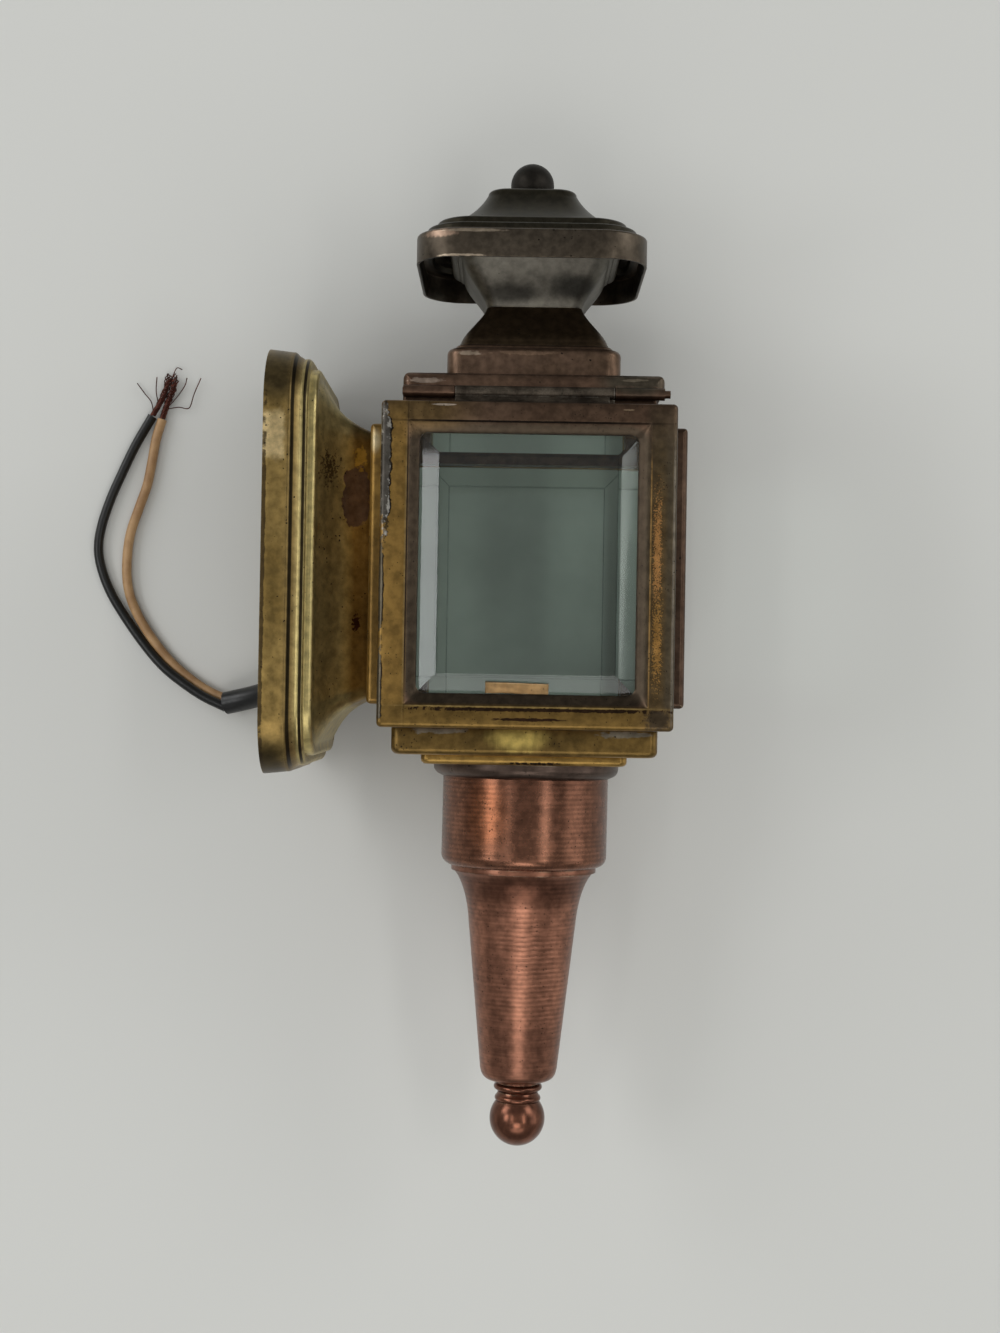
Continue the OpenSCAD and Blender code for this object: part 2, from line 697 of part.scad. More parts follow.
// Folded spring strip that meets the lamp's foot
module centre_contact() {
    strip_t = 0.6;
    strip_w = 4;
    strip_l = 10;
    color("gold") on_body() translate([0, 0, core_top - contact_well]) {
        translate([-strip_l / 2, -strip_w / 2, 0]) cube([strip_l, strip_w, strip_t]);
        translate([-strip_w / 2, -strip_w / 2, 0]) cube([strip_w, strip_w, contact_well - 0.8]);
    }
}

// The two leads between the bush and the lampholder's base
module inner_leads() {
    top = [-face_out + frame_wall + 1.4, 0, bush_z];
    side_r = (holder_r + holder_hole_r) / 2;
    color("black") on_body() for (s = [-1, 1]) {
        route = [top + [0, s * 1.7, 0], top + [2.5, s * 1.7, 0], [-case_half + 4, s * 1.9, bush_z - 2],
            [-case_half + 10, s * 2.2, bush_z - 8], [-side_r - 5, s * 2.4, bush_z - 15],
            [-side_r - 0.5, s * 2.6, tray_bottom + 2], [-side_r, s * 2.6, step_bottom - 5],
            [-side_r, s * 2.6, holder_bottom + 12], [-side_r + 3, s * 3, holder_bottom + 4],
            [-stem_r - 4.4, s * 3.4, holder_bottom + 1.2]];
        swept_tube(route, lead_r - 0.05, 8);
    }
}

// Fixed middle knuckle with its leaf, bedded in solder on the front frame
module hinge_leaf() {
    w = mid_left + mid_right;
    top = frame_half_h;
    color("silver") on_body() translate([-mid_left, 0, 0]) difference() {
        union() {
            translate([0, hinge_y, hinge_z]) rotate([0, 90, 0]) cylinder(r = knuckle_r, h = w);
            translate([0, hinge_y, top]) cube([w, -case_half - hinge_y, hinge_z - top]);
            rotate([90, 0, 90]) linear_extrude(w - 1.6)
                polygon([[hinge_y + 1, top], [hinge_y - 4.4, top], [hinge_y - 3.2, top + 0.8],
                    [hinge_y - 1.6, top + 2.2], [hinge_y - 0.6, top + 3.4], [hinge_y + 1, top + 3.4]]);
        }
        translate([-1, hinge_y, hinge_z]) rotate([0, 90, 0]) cylinder(r = pin_r + pin_play, h = w + 2);
    }
}

module hinge_pin() {
    color("silver") on_body() translate([lid_shift - lid_half, hinge_y, hinge_z]) rotate([0, 90, 0])
        cylinder(r = pin_r, h = 2 * lid_half + pin_out);
}

// Shallow pressed lid with a rolled knuckle at each end of its hinge edge
module lid_tray() {
    reach = hinge_y + lid_half - sheet;
    ends = [[0.2 - lid_half, -mid_left - 0.3 - lid_shift], [mid_right + 0.3 - lid_shift, lid_half - 0.2]];
    straight = lid_half - lid_edge_r;
    color("saddlebrown") on_body() translate([lid_shift, 0, 0]) difference() {
        union() {
            difference() {
                translate([0, 0, lid_bottom]) rotate([-90, 0, 0])
                    edge_block(lid_half, lid_half, lid_h, lid_edge_r, lid_edge_r);
                translate([-lid_half + sheet, -lid_half + sheet, lid_bottom - 1])
                    cube([2 * (lid_half - sheet), 2 * (lid_half - sheet), lid_h + 1 - sheet]);
                translate([0, 0, lid_bottom])
                    linear_extrude(lid_h + 1) round_rect(2 * vent_half, 2 * vent_half, 6);
            }
            for (x = ends) {
                left = max(x[0], -straight);
                translate([x[0], hinge_y, hinge_z]) rotate([0, 90, 0])
                    cylinder(r = knuckle_r, h = x[1] - x[0]);
                translate([left, hinge_y, hinge_z + 0.6])
                    cube([min(x[1], straight) - left, -reach, knuckle_r]);
            }
        }
        translate([-2 * lid_half, hinge_y, hinge_z]) rotate([0, 90, 0])
            cylinder(r = pin_r + pin_play, h = 4 * lid_half);
    }
}

// Line of the chimney from its foot to its neck, heights from the foot
function chimney_profile(foot, rise) = let (h = foot + 2.2, e = foot_edge_r)
    concat([[chimney_half, 0]],
        arc([chimney_half - e, foot - e], e, 0, 80, 3),
        [[chimney_half - 2.4, foot + 0.2], [chimney_half - 2.9, foot + 1],
            [chimney_half - 3.7, foot + 1.2]],
        curve([chimney_half - 4.1, h], [neck_half + 7, h + 0.29 * rise],
            [neck_half + 1.2, h + 0.68 * rise], [neck_half, h + rise], 7));

module chimney_base() {
    color("saddlebrown") on_body() translate([lid_shift, 0, lid_top])
        square_shell(chimney_profile(foot_h, curve_h), sheet, chimney_corner_r, 0.2, false);
}

// The same pressing turned over, with a lower rim
module chimney_flare() {
    profile = chimney_profile(rim_h - 1, flare_curve_h);
    color("gray") on_body() translate([lid_shift, 0, flare_top]) mirror([0, 0, 1])
        square_shell(profile, sheet, chimney_corner_r, 0.2, false);
}

// Line of the canopy from its rim over two steps to its flat top
function canopy_profile() = let (
    s1 = canopy_skirt_h, s2 = s1 + canopy_step_h, s3 = s2 + canopy_step_h, top = s3 + canopy_curve_h,
    e = canopy_edge_r, half = canopy_half)
    concat([[half, 0]],
        arc([half - e, s1 - e], e, 0, 80, 3),
        [[half - 2.4, s1 + 0.25]],
        arc([half - 4.2, s2 - 1.2], 1.1, 10, 80, 2),
        [[half - 5.4, s2 + 0.1]],
        arc([half - 7.4, s3 - 1.5], 1.3, 10, 80, 2),
        [[half - 8.6, s3]],
        curve([half - 11.6, s3 + 0.5], [canopy_top_half + 8.1, s3 + 2.6],
            [canopy_top_half + 4.2, s3 + 6.4], [canopy_top_half + 1.8, top - 1.8], 6),
        arc([canopy_top_half, top - 1.8], 1.8, 20, 90, 3),
        [[tie_r + 2.4, top]]);

module canopy() {
    color("dimgray") on_body() difference() {
        translate([0, 0, canopy_base]) square_shell(canopy_profile(), sheet, 14, 0.38, true);
        translate([0, 0, canopy_top - 2]) cylinder(r = tie_r + 0.15, h = 3);
    }
}

module top_finial() {
    color("darkslategray") on_body() translate([0, 0, canopy_top]) difference() {
        rotate_extrude() polygon(concat([[0, 0]],
            arc([0, top_ball_r - ball_cut], top_ball_r, -asin(1 - ball_cut / top_ball_r), 90, 20)));
        translate([0, 0, -1]) cylinder(r = tie_r + 0.05, h = 6.6);
    }
}

// Rod from the nut under the bridge up into the ball
module tie_rod() {
    low = bridge_z - tie_nut_h - 1.8;
    color("silver") on_body() translate([0, 0, low]) cylinder(r = tie_r, h = canopy_top + 5.4 - low);
}

// Strip across the lid's vent hole, soldered under the lid
module tie_bridge() {
    reach = vent_half + bridge_lap;
    color("silver") on_body() difference() {
        translate([lid_shift - reach, -bridge_w / 2, bridge_z]) cube([2 * reach, bridge_w, bridge_t]);
        translate([0, 0, bridge_z - 1]) cylinder(r = tie_r + 0.05, h = bridge_t + 2);
    }
}

module tie_nut() {
    color("gold") on_body() translate([0, 0, bridge_z - tie_nut_h]) hex_nut(tie_r + 0.3, tie_nut_h);
}

module lead_sleeve() {
    color("black") swept_tube(sleeve_route, sleeve_r - 0.65, 10);
}

module black_lead() {
    color("black") swept_tube(black_route, lead_r, 8);
}

module tan_lead() {
    color("burlywood") swept_tube(tan_route, lead_r, 8);
}

module black_strands() {
    color("chocolate") swept_tube(black_end_route, strand_r, 8);
}

module tan_strands() {
    color("chocolate") swept_tube(tan_end_route, strand_r, 8);
}

wall_plate();
mounting_bar();
wall_frame();
lead_bush();
body_case();
front_frame();
rear_frame();
outer_frame();
front_glass();
rear_glass();
outer_glass();
glass_beds();
glass_clip();
bottom_tray();
step_plate();
collar_ring();
copper_cup();
tail_cone();
tail_finial();
stem_tube();
stem_nuts();
lampholder_shell();
lampholder_base();
porcelain_core();
screw_shell();
centre_contact();
inner_leads();
hinge_leaf();
hinge_pin();
lid_tray();
chimney_base();
chimney_flare();
canopy();
top_finial();
tie_rod();
tie_bridge();
tie_nut();
lead_sleeve();
black_lead();
tan_lead();
black_strands();
tan_strands();
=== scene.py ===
"""Carriage lantern on its wall plate: the visible finishes, shells and leads."""

import logging
import math
from dataclasses import dataclass, field
from enum import Enum

import bmesh
import bpy
from mathutils import Matrix, Vector


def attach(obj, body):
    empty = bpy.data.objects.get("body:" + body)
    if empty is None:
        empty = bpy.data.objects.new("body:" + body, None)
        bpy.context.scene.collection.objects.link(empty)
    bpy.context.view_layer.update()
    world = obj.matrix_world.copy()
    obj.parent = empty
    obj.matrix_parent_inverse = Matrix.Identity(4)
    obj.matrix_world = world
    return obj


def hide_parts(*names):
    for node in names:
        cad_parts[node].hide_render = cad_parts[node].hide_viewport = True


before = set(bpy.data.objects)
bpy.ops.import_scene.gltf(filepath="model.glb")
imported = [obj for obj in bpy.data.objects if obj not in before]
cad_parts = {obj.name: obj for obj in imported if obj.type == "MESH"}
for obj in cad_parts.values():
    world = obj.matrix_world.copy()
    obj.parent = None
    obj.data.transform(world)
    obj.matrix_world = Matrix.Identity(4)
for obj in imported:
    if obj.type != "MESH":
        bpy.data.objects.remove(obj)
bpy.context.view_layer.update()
MM = 0.001
AXIS_X = 80.0
BODY_Z = -1.2
SHEET = 0.8
RING_PITCH = 0.0015
BEVEL_HALF = (26.9, 33.1)
LOG = logging.getLogger("lantern")

Vec = tuple[float, float, float]
Rgb = tuple[float, float, float]
Ring = tuple[float, float, float, float, float]


class Body(Enum):
    """The two rigid bodies that pieces ride on."""

    LANTERN = "lantern"
    LID = "lid"


class Lines(Enum):
    """How a surface was worked: what fine tool lines it has."""

    NONE = "none"
    TURNED = "turned"
    RINGED = "ringed"


def srgb(red: float, green: float, blue: float) -> Rgb:
    """Turns an 8-bit display colour into a linear one.

    Args:
        red: Red from 0 to 255.
        green: Green from 0 to 255.
        blue: Blue from 0 to 255.

    Returns:
        The three linear values.
    """
    def one(value: float) -> float:
        """Returns one linear value."""
        share = value / 255
        return share / 12.92 if share <= 0.04045 else ((share + 0.055) / 1.055) ** 2.4
    return one(red), one(green), one(blue)


def on_axis(x: float, y: float, z: float) -> Vec:
    """Turns millimetres about the lantern's axis and frame centre into metres in the row frame."""
    return (x + AXIS_X) * MM, y * MM, (z + BODY_Z) * MM


class Graph:
    """Adds and links nodes in one node tree."""

    def __init__(self, tree: bpy.types.NodeTree) -> None:
        """Keeps the tree that the nodes go into."""
        self.tree = tree

    def fill(self, node: bpy.types.Node, values: dict) -> bpy.types.Node:
        """Sets or links a node's inputs.

        Args:
            node: The node.
            values: Input name or number to a constant or an output socket.

        Returns:
            The same node.
        """
        for key, value in values.items():
            if isinstance(value, bpy.types.NodeSocket):
                self.tree.links.new(value, node.inputs[key])
            else:
                node.inputs[key].default_value = value
        return node

    def add(self, kind: str, values: dict | None = None, **settings: object) -> bpy.types.Node:
        """Adds a node, sets its options and then its inputs.

        Args:
            kind: The node's type name.
            values: Input name or number to a constant or an output socket.
            **settings: Options of the node itself.

        Returns:
            The new node.
        """
        node = self.tree.nodes.new(kind)
        for key, value in settings.items():
            setattr(node, key, value)
        return self.fill(node, values or {})

    def group(self, tree: bpy.types.NodeTree, values: dict) -> bpy.types.NodeSocket:
        """Returns the output of a shared node group with these inputs."""
        return self.add("ShaderNodeGroup", values, node_tree=tree).outputs[0]

    def math(self, operation: str, first: object, second: object = 0.0, third: object = 0.0,
             clamp: bool = False) -> bpy.types.NodeSocket:
        """Returns the output of a math node on up to three values or sockets."""
        return self.add("ShaderNodeMath", {0: first, 1: second, 2: third}, operation=operation,
                        use_clamp=clamp).outputs[0]

    def vector(self, operation: str, first: object, second: object = (0.0, 0.0, 0.0)
               ) -> bpy.types.NodeSocket:
        """Returns the vector output of a vector math node."""
        return self.add("ShaderNodeVectorMath", {0: first, 1: second},
                        operation=operation).outputs[0]

    def mix(self, factor: object, first: object, second: object,
            blend: str = "MIX") -> bpy.types.NodeSocket:
        """Returns a blend of two colours or colour sockets."""
        first, second = (v if isinstance(v, bpy.types.NodeSocket) else (*v, 1.0)
                         for v in (first, second))
        return self.add("ShaderNodeMix", {"Factor": factor, 6: first, 7: second},
                        data_type="RGBA", blend_type=blend).outputs[2]

    def shade(self, colour: object, tone: bpy.types.NodeSocket) -> bpy.types.NodeSocket:
        """Returns a colour times a grey tone."""
        grey = self.add("ShaderNodeCombineColor", {0: tone, 1: tone, 2: tone}).outputs[0]
        return self.mix(1.0, colour, grey, "MULTIPLY")

    def ramp(self, value: object, low: float, high: float, start: float = 0.0,
             end: float = 1.0) -> bpy.types.NodeSocket:
        """Returns a smooth step of a value from low to high."""
        return self.add("ShaderNodeMapRange", {"Value": value, "From Min": low, "From Max": high,
                                               "To Min": start, "To Max": end},
                        interpolation_type="SMOOTHSTEP").outputs[0]

    def noise(self, vector: object, scale: object, detail: float = 3.0,
              rough: float = 0.55) -> bpy.types.NodeSocket:
        """Returns the value of a noise texture at a vector."""
        return self.add("ShaderNodeTexNoise", {"Vector": vector, "Scale": scale, "Detail": detail,
                                               "Roughness": rough}).outputs[0]


def make_group(name: str, output: str, inputs: dict[str, object]
               ) -> tuple[Graph, dict[str, bpy.types.NodeSocket]]:
    """Starts a shader node group with named inputs and one number as its output.

    Args:
        name: The group's name.
        output: The output's name.
        inputs: Input name to its default, a number or a vector.

    Returns:
        A graph on the group, and its inputs by name.
    """
    tree = bpy.data.node_groups.new(name, "ShaderNodeTree")
    for key, value in inputs.items():
        kind = "NodeSocketFloat" if isinstance(value, float) else "NodeSocketVector"
        tree.interface.new_socket(key, in_out="INPUT", socket_type=kind).default_value = value
    tree.interface.new_socket(output, in_out="OUTPUT", socket_type="NodeSocketFloat")
    graph = Graph(tree)
    return graph, {s.name: s for s in graph.add("NodeGroupInput").outputs}


def close_group(graph: Graph, result: bpy.types.NodeSocket) -> bpy.types.NodeTree:
    """Links a value to the group's output and returns the group."""
    graph.add("NodeGroupOutput", {0: result})
    return graph.tree


def start_material(name: str) -> tuple[bpy.types.Material, Graph, bpy.types.Node]:
    """Returns a new material, a graph on its nodes and its main shader."""
    material = bpy.data.materials.new(name)
    material.use_nodes = True
    return material, Graph(material.node_tree), material.node_tree.nodes["Principled BSDF"]


class SharedEffects:
    """The node groups that several finishes use."""

    def __init__(self) -> None:
        """Builds each group once."""
        self.patch = self._patch()
        self.specks = self._specks()
        self.wear_and_sheen = self._wear_and_sheen()
        self.turned = self._turned()

    @staticmethod
    def _patch() -> bpy.types.NodeTree:
        """Returns the group for a ragged spot at one place, round or squarish."""
        g, given = make_group("ragged_patch", "Mask", {
            "Position": (0.0, 0.0, 0.0), "Centre": (0.0, 0.0, 0.0), "Size": (1.0, 1.0, 1.0),
            "Power": 2.0, "Ragged": 0.3, "Grain": 200.0, "Softness": 0.2, "Strength": 1.0,
            "Stretch": (1.0, 1.0, 1.0), "Cover": 1.0})
        place, power = given["Position"], given["Power"]
        local = g.vector("DIVIDE", g.vector("SUBTRACT", place, given["Centre"]), given["Size"])
        axes = g.add("ShaderNodeSeparateXYZ", {0: g.vector("ABSOLUTE", local)}).outputs
        x, y, z = (g.math("POWER", axes[i], power) for i in range(3))
        reach = g.math("POWER", g.math("ADD", g.math("ADD", x, y), z),
                       g.math("DIVIDE", 1.0, power))
        drawn = g.vector("MULTIPLY", place, given["Stretch"])
        grain = g.math("SUBTRACT", g.noise(drawn, given["Grain"], 5.0, 0.65), 0.5)
        push = g.math("MULTIPLY", g.math("MULTIPLY", grain, given["Ragged"]), 3.0)
        inside = g.math("SUBTRACT", given["Cover"], g.math("ADD", reach, push))
        mask = g.ramp(g.math("DIVIDE", inside, given["Softness"]), -0.5, 0.5)
        return close_group(g, g.math("MULTIPLY", mask, given["Strength"], clamp=True))

    @staticmethod
    def _specks() -> bpy.types.NodeTree:
        """Returns the group for scattered small pits and spots, thick in some places."""
        g, given = make_group("specks", "Mask", {
            "Position": (0.0, 0.0, 0.0), "Scale": 900.0, "Amount": 0.3})
        place = given["Position"]
        shift = g.add("ShaderNodeTexNoise", {"Vector": place, "Scale": 1500.0, "Detail": 2.0})
        moved = g.add("ShaderNodeVectorMath", {0: shift.outputs["Color"], 1: (0.0007,) * 3,
                                               2: place}, operation="MULTIPLY_ADD").outputs[0]
        cells = g.add("ShaderNodeTexVoronoi", {"Vector": moved, "Scale": given["Scale"]}).outputs
        colour = g.add("ShaderNodeSeparateColor", {0: cells["Color"]}).outputs
        clouds = g.ramp(g.noise(place, 75.0, 4.0, 0.65), 0.44, 0.64, 0.04)
        chosen = g.math("LESS_THAN", colour[0], g.math("MULTIPLY", clouds, given["Amount"]))
        size = g.math("MULTIPLY_ADD", colour[1], 0.22, 0.1)
        spot = g.ramp(g.math("SUBTRACT", size, cells["Distance"]), -0.05, 0.1)
        return close_group(g, g.math("MULTIPLY", spot, chosen))

    @staticmethod
    def _wear_and_sheen() -> bpy.types.NodeTree:
        """Returns the group that finds edges where the patina is rubbed off; their pale colour is also a
        painted highlight where edges catch light.
        """
        g, given = make_group("edge_wear_and_sheen", "Mask", {
            "Position": (0.0, 0.0, 0.0), "Radius": 0.0006, "Amount": 0.5, "Grain": 260.0})
        rounded = g.add("ShaderNodeBevel", {"Radius": given["Radius"]}, samples=4).outputs[0]
        normal = g.add("ShaderNodeNewGeometry").outputs["Normal"]
        same = g.add("ShaderNodeVectorMath", {0: rounded, 1: normal},
                     operation="DOT_PRODUCT").outputs["Value"]
        bend = g.ramp(g.math("SUBTRACT", 1.0, same), 0.004, 0.07)
        broken = g.ramp(g.noise(given["Position"], given["Grain"], 5.0, 0.65), 0.42, 0.6)
        return close_group(g, g.math("MULTIPLY", g.math("MULTIPLY", bend, broken),
                                     given["Amount"], clamp=True))

    @staticmethod
    def _turned() -> bpy.types.NodeTree:
        """Returns the group for the fine rings that a lathe or a spinning chuck leaves."""
        g, given = make_group("tool_lines", "Height", {
            "Position": (0.0, 0.0, 0.0), "Scale": 1600.0, "Rings": 0.0})
        place, scale = given["Position"], given["Scale"]
        flat = g.vector("MULTIPLY", place, (0.02, 0.02, 1.0))
        fine = g.noise(flat, scale, 2.0, 0.5)
        broad = g.noise(flat, g.math("MULTIPLY", scale, 0.3), 2.0, 0.5)
        level = g.add("ShaderNodeSeparateXYZ", {0: place}).outputs[2]
        around = g.ramp(g.noise(place, 45.0, 3.0, 0.5), 0.35, 0.65)
        wave = g.math("SINE", g.math("MULTIPLY", level, 2 * math.pi / RING_PITCH))
        ring = g.math("MULTIPLY", g.math("MULTIPLY", wave, around), given["Rings"])
        plain = g.math("ADD", g.math("MULTIPLY", fine, 0.6), g.math("MULTIPLY", broad, 0.4))
        return close_group(g, g.math("ADD", plain, ring))


@dataclass(frozen=True)
class Patch:
    """A stain, a bare spot, a bright rub, a painted shade, a painted highlight or a painted reflection at
    one place.

    Sizes are millimetres about the lantern's axis; a size is half of the patch's width.
    """

    centre: Vec
    size: Vec
    colour: Rgb
    strength: float = 1.0
    ragged: float = 0.3
    grain: float = 200.0
    softness: float = 0.25
    power: float = 2.0
    stretch: Vec = (1.0, 1.0, 1.0)
    cover: float = 1.0


@dataclass(frozen=True)
class MetalFinish:
    """Brass, bronze, copper or tin with its age on it, and some painted light and shade."""

    name: str
    light: Rgb
    dark: Rgb
    metallic: float = 0.9
    rough: tuple[float, float] = (0.3, 0.48)
    cloud_scale: float = 26.0
    specks: float = 0.25
    speck_scale: float = 900.0
    speck_colour: Rgb = (0.02, 0.015, 0.01)
    # Edge wear: rubbed patina on edges that also serves as a painted edge highlight.
    wear_and_sheen: float = 0.4
    wear_and_sheen_colour: Rgb = (0.45, 0.38, 0.26)
    wear_and_sheen_radius: float = 0.6
    lines: Lines = Lines.NONE
    line_depth: float = 0.03
    line_scale: float = 1600.0
    dirt: float = 0.35
    patches: tuple[Patch, ...] = ()

    def _stains_and_painted_light(self, g: Graph, effects: SharedEffects, position: object, colour: object
                ) -> object:
        """Returns the colour with the patches laid over it, the first one lowest."""
        for patch in self.patches:
            spot = g.group(effects.patch, {
                "Position": position, "Centre": on_axis(*patch.centre),
                "Size": tuple(s * MM for s in patch.size), "Power": patch.power,
                "Ragged": patch.ragged, "Grain": patch.grain, "Stretch": patch.stretch,
                "Cover": patch.cover, "Softness": patch.softness, "Strength": patch.strength})
            colour = g.mix(spot, colour, patch.colour)
        return colour

    def build(self, effects: SharedEffects) -> bpy.types.Material:
        """Makes the material.

        Args:
            effects: The shared node groups.

        Returns:
            The material, on Object coordinates.
        """
        material, g, shader = start_material(self.name)
        position = g.add("ShaderNodeTexCoord").outputs["Object"]
        clouds = g.noise(position, self.cloud_scale, 5.0, 0.6)
        fine = g.noise(position, self.cloud_scale * 14, 4.0, 0.6)
        colour = g.mix(g.ramp(clouds, 0.34, 0.68), self.dark, self.light)
        colour = self._stains_and_painted_light(g, effects, position, colour)
        colour = g.shade(colour, g.ramp(fine, 0.25, 0.75, 1 - self.dirt, 1 + self.dirt * 0.5))
        speck = g.group(effects.specks, {"Position": position, "Scale": self.speck_scale,
                                         "Amount": self.specks})
        # Edge wear: rubbed patina, and a painted highlight where edges catch light.
        worn = g.group(effects.wear_and_sheen, {"Position": position, "Radius": self.wear_and_sheen_radius * MM,
                                      "Amount": self.wear_and_sheen})
        colour = g.mix(worn, g.mix(speck, colour, self.speck_colour), self.wear_and_sheen_colour)
        height = g.math("SUBTRACT", g.math("MULTIPLY", fine, 0.35), g.math("MULTIPLY", speck, 0.5))
        if self.lines is not Lines.NONE:
            tool = g.group(effects.turned, {
                "Position": position, "Scale": self.line_scale,
                "Rings": 0.3 if self.lines is Lines.RINGED else 0.0})
            height = g.math("ADD", height, g.math("MULTIPLY", tool, self.line_depth * 40))
            colour = g.shade(colour, g.ramp(tool, 0.3, 0.7, 0.82, 1.12))
        bump = g.add("ShaderNodeBump", {"Height": height, "Strength": 0.25,
                                        "Distance": 0.00012}).outputs[0]
        rough = g.ramp(g.math("MULTIPLY_ADD", fine, 0.5, 0.2), 0.1, 0.9, *self.rough)
        rough = g.math("ADD", rough, g.math("MULTIPLY", speck, 0.25), clamp=True)
        g.fill(shader, {"Base Color": colour, "Roughness": rough, "Normal": bump,
                        "Metallic": self.metallic})
        return material


@dataclass(frozen=True)
class PlainFinish:
    """Insulation, porcelain, steel and the like: one colour with fine variation."""

    name: str
    colour: Rgb
    second: Rgb
    rough: float = 0.4
    metallic: float = 0.0
    scale: float = 120.0
    bump: float = 0.15

    def build(self) -> bpy.types.Material:
        """Makes the material and returns it."""
        material, g, shader = start_material(self.name)
        position = g.add("ShaderNodeTexCoord").outputs["Object"]
        clouds = g.noise(position, self.scale, 5.0, 0.6)
        fine = g.noise(position, self.scale * 12, 3.0, 0.5)
        colour = g.mix(g.ramp(clouds, 0.35, 0.65), self.colour, self.second)
        bump = g.add("ShaderNodeBump", {"Height": fine, "Strength": self.bump,
                                        "Distance": 0.0001}).outputs[0]
        rough = g.ramp(fine, 0.2, 0.8, self.rough - 0.08, self.rough + 0.08)
        g.fill(shader, {"Base Color": colour, "Roughness": rough, "Normal": bump,
                        "Metallic": self.metallic})
        return material


@dataclass(frozen=True)
class GlassFinish:
    """Clear pane glass with a faint green tint and a little dust."""

    name: str = "pane_glass"
    tint: Rgb = (0.93, 0.995, 0.965)
    through: Rgb = (0.91, 0.945, 0.925)
    rough: float = 0.02
    bevel_from: tuple[Vec, Vec] | None = None

    def _bevel_lines(self, g: Graph, position: object, colour: object) -> object:
        """Paints dark lines where the bevel begins and where its sides meet, a painted shade for the
        light that the glass bends at these creases.

        Args:
            g: The material's nodes.
            position: The Object coordinates.
            colour: The tint so far.

        Returns:
            The tint with the lines.
        """
        low, high = self.bevel_from
        axes = g.add("ShaderNodeSeparateXYZ", {0: position})
        past = []
        for axis in (0, 2):
            middle, half = (low[axis] + high[axis]) / 2, (high[axis] - low[axis]) / 2
            off = g.math("ABSOLUTE", g.math("SUBTRACT", axes.outputs[axis], middle))
            past.append(g.math("SUBTRACT", off, half))
        ring = g.ramp(g.math("ABSOLUTE", g.math("MAXIMUM", *past)), 0.0001, 0.0003, 1.0, 0.0)
        mitre = g.ramp(g.math("ABSOLUTE", g.math("SUBTRACT", *past)), 0.0001, 0.0003, 1.0, 0.0)
        mitre = g.math("MULTIPLY", mitre, g.math("GREATER_THAN", g.math("MINIMUM", *past), 0.0))
        both = g.math("MULTIPLY", g.math("MAXIMUM", ring, mitre), 0.5)
        return g.mix(both, colour, (0.16, 0.22, 0.2))

    def build(self) -> bpy.types.Material:
        """Makes the material; light passes it with a tint instead of a black shadow.

        Returns:
            The material.
        """
        material, g, shader = start_material(self.name)
        position = g.add("ShaderNodeTexCoord").outputs["Object"]
        haze = g.noise(position, 60.0, 5.0, 0.65)
        colour = g.mix(g.ramp(haze, 0.3, 0.7), tuple(0.94 * c for c in self.tint), self.tint)
        # Painted shade: dark lines along the bevel's edges.
        if self.bevel_from:
            colour = self._bevel_lines(g, position, colour)
        rough = g.ramp(haze, 0.45, 0.8, self.rough, self.rough + 0.05)
        g.fill(shader, {"Base Color": colour, "Roughness": rough, "Transmission Weight": 1.0,
                        "IOR": 1.5})
        clear = g.add("ShaderNodeBsdfTransparent", {0: (*self.through, 1.0)}).outputs[0]
        path = g.add("ShaderNodeLightPath").outputs
        either = g.math("MAXIMUM", path["Is Shadow Ray"], path["Is Diffuse Ray"])
        both = g.add("ShaderNodeMixShader", {0: either, 1: shader.outputs[0], 2: clear})
        g.fill(g.tree.nodes["Material Output"], {0: both.outputs[0]})
        return material


def leave_edit() -> None:
    """Goes back to object mode if an object is being edited."""
    if bpy.context.object and bpy.context.object.mode != "OBJECT":
        bpy.ops.object.mode_set(mode="OBJECT")


def deselect() -> None:
    """Leaves edit mode and selects nothing."""
    leave_edit()
    bpy.ops.object.select_all(action="DESELECT")


def settle(piece: bpy.types.Object, name: str) -> bpy.types.Object:
    """Names a piece and moves its place into its mesh.

    Args:
        piece: The object that was made.
        name: Its piece name.

    Returns:
        The same object, at the origin and unturned.
    """
    leave_edit()
    piece.name = name
    piece.data.name = name
    piece.data.transform(piece.matrix_world)
    piece.matrix_world = Matrix.Identity(4)
    return piece


def finish_piece(piece: bpy.types.Object, body: Body, material: bpy.types.Material,
                 nodes: tuple[str, ...] = (), smooth_angle: float = 35.0) -> bpy.types.Object:
    """Dresses a finished piece and hands it to its body.

    Args:
        piece: The piece, settled.
        body: The body that it rides on.
        material: Its finish.
        nodes: The nodes that it stands for.
        smooth_angle: Edges sharper than this stay sharp, in degrees.

    Returns:
        The piece.
    """
    deselect()
    bpy.context.view_layer.objects.active = piece
    piece.select_set(True)
    if piece.type == "MESH" and smooth_angle:
        bpy.ops.object.shade_smooth_by_angle(angle=math.radians(smooth_angle))
    piece.data.materials.clear()
    piece.data.materials.append(material)
    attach(piece, body.value)
    if nodes:
        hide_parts(*nodes)
    LOG.info("made %s for %s", piece.name, nodes or "the scene only")
    return piece


def dress(node: str, material: bpy.types.Material) -> None:
    """Gives a CAD node its finish."""
    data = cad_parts[node].data
    data.materials.clear()
    data.materials.append(material)


def arc(centre: tuple[float, float], radius: float, start: float, end: float,
        steps: int) -> list[tuple[float, float]]:
    """Returns points on an arc in a profile, angles in degrees."""
    angles = [math.radians(start + (end - start) * i / steps) for i in range(steps + 1)]
    return [(centre[0] + radius * math.cos(a), centre[1] + radius * math.sin(a)) for a in angles]


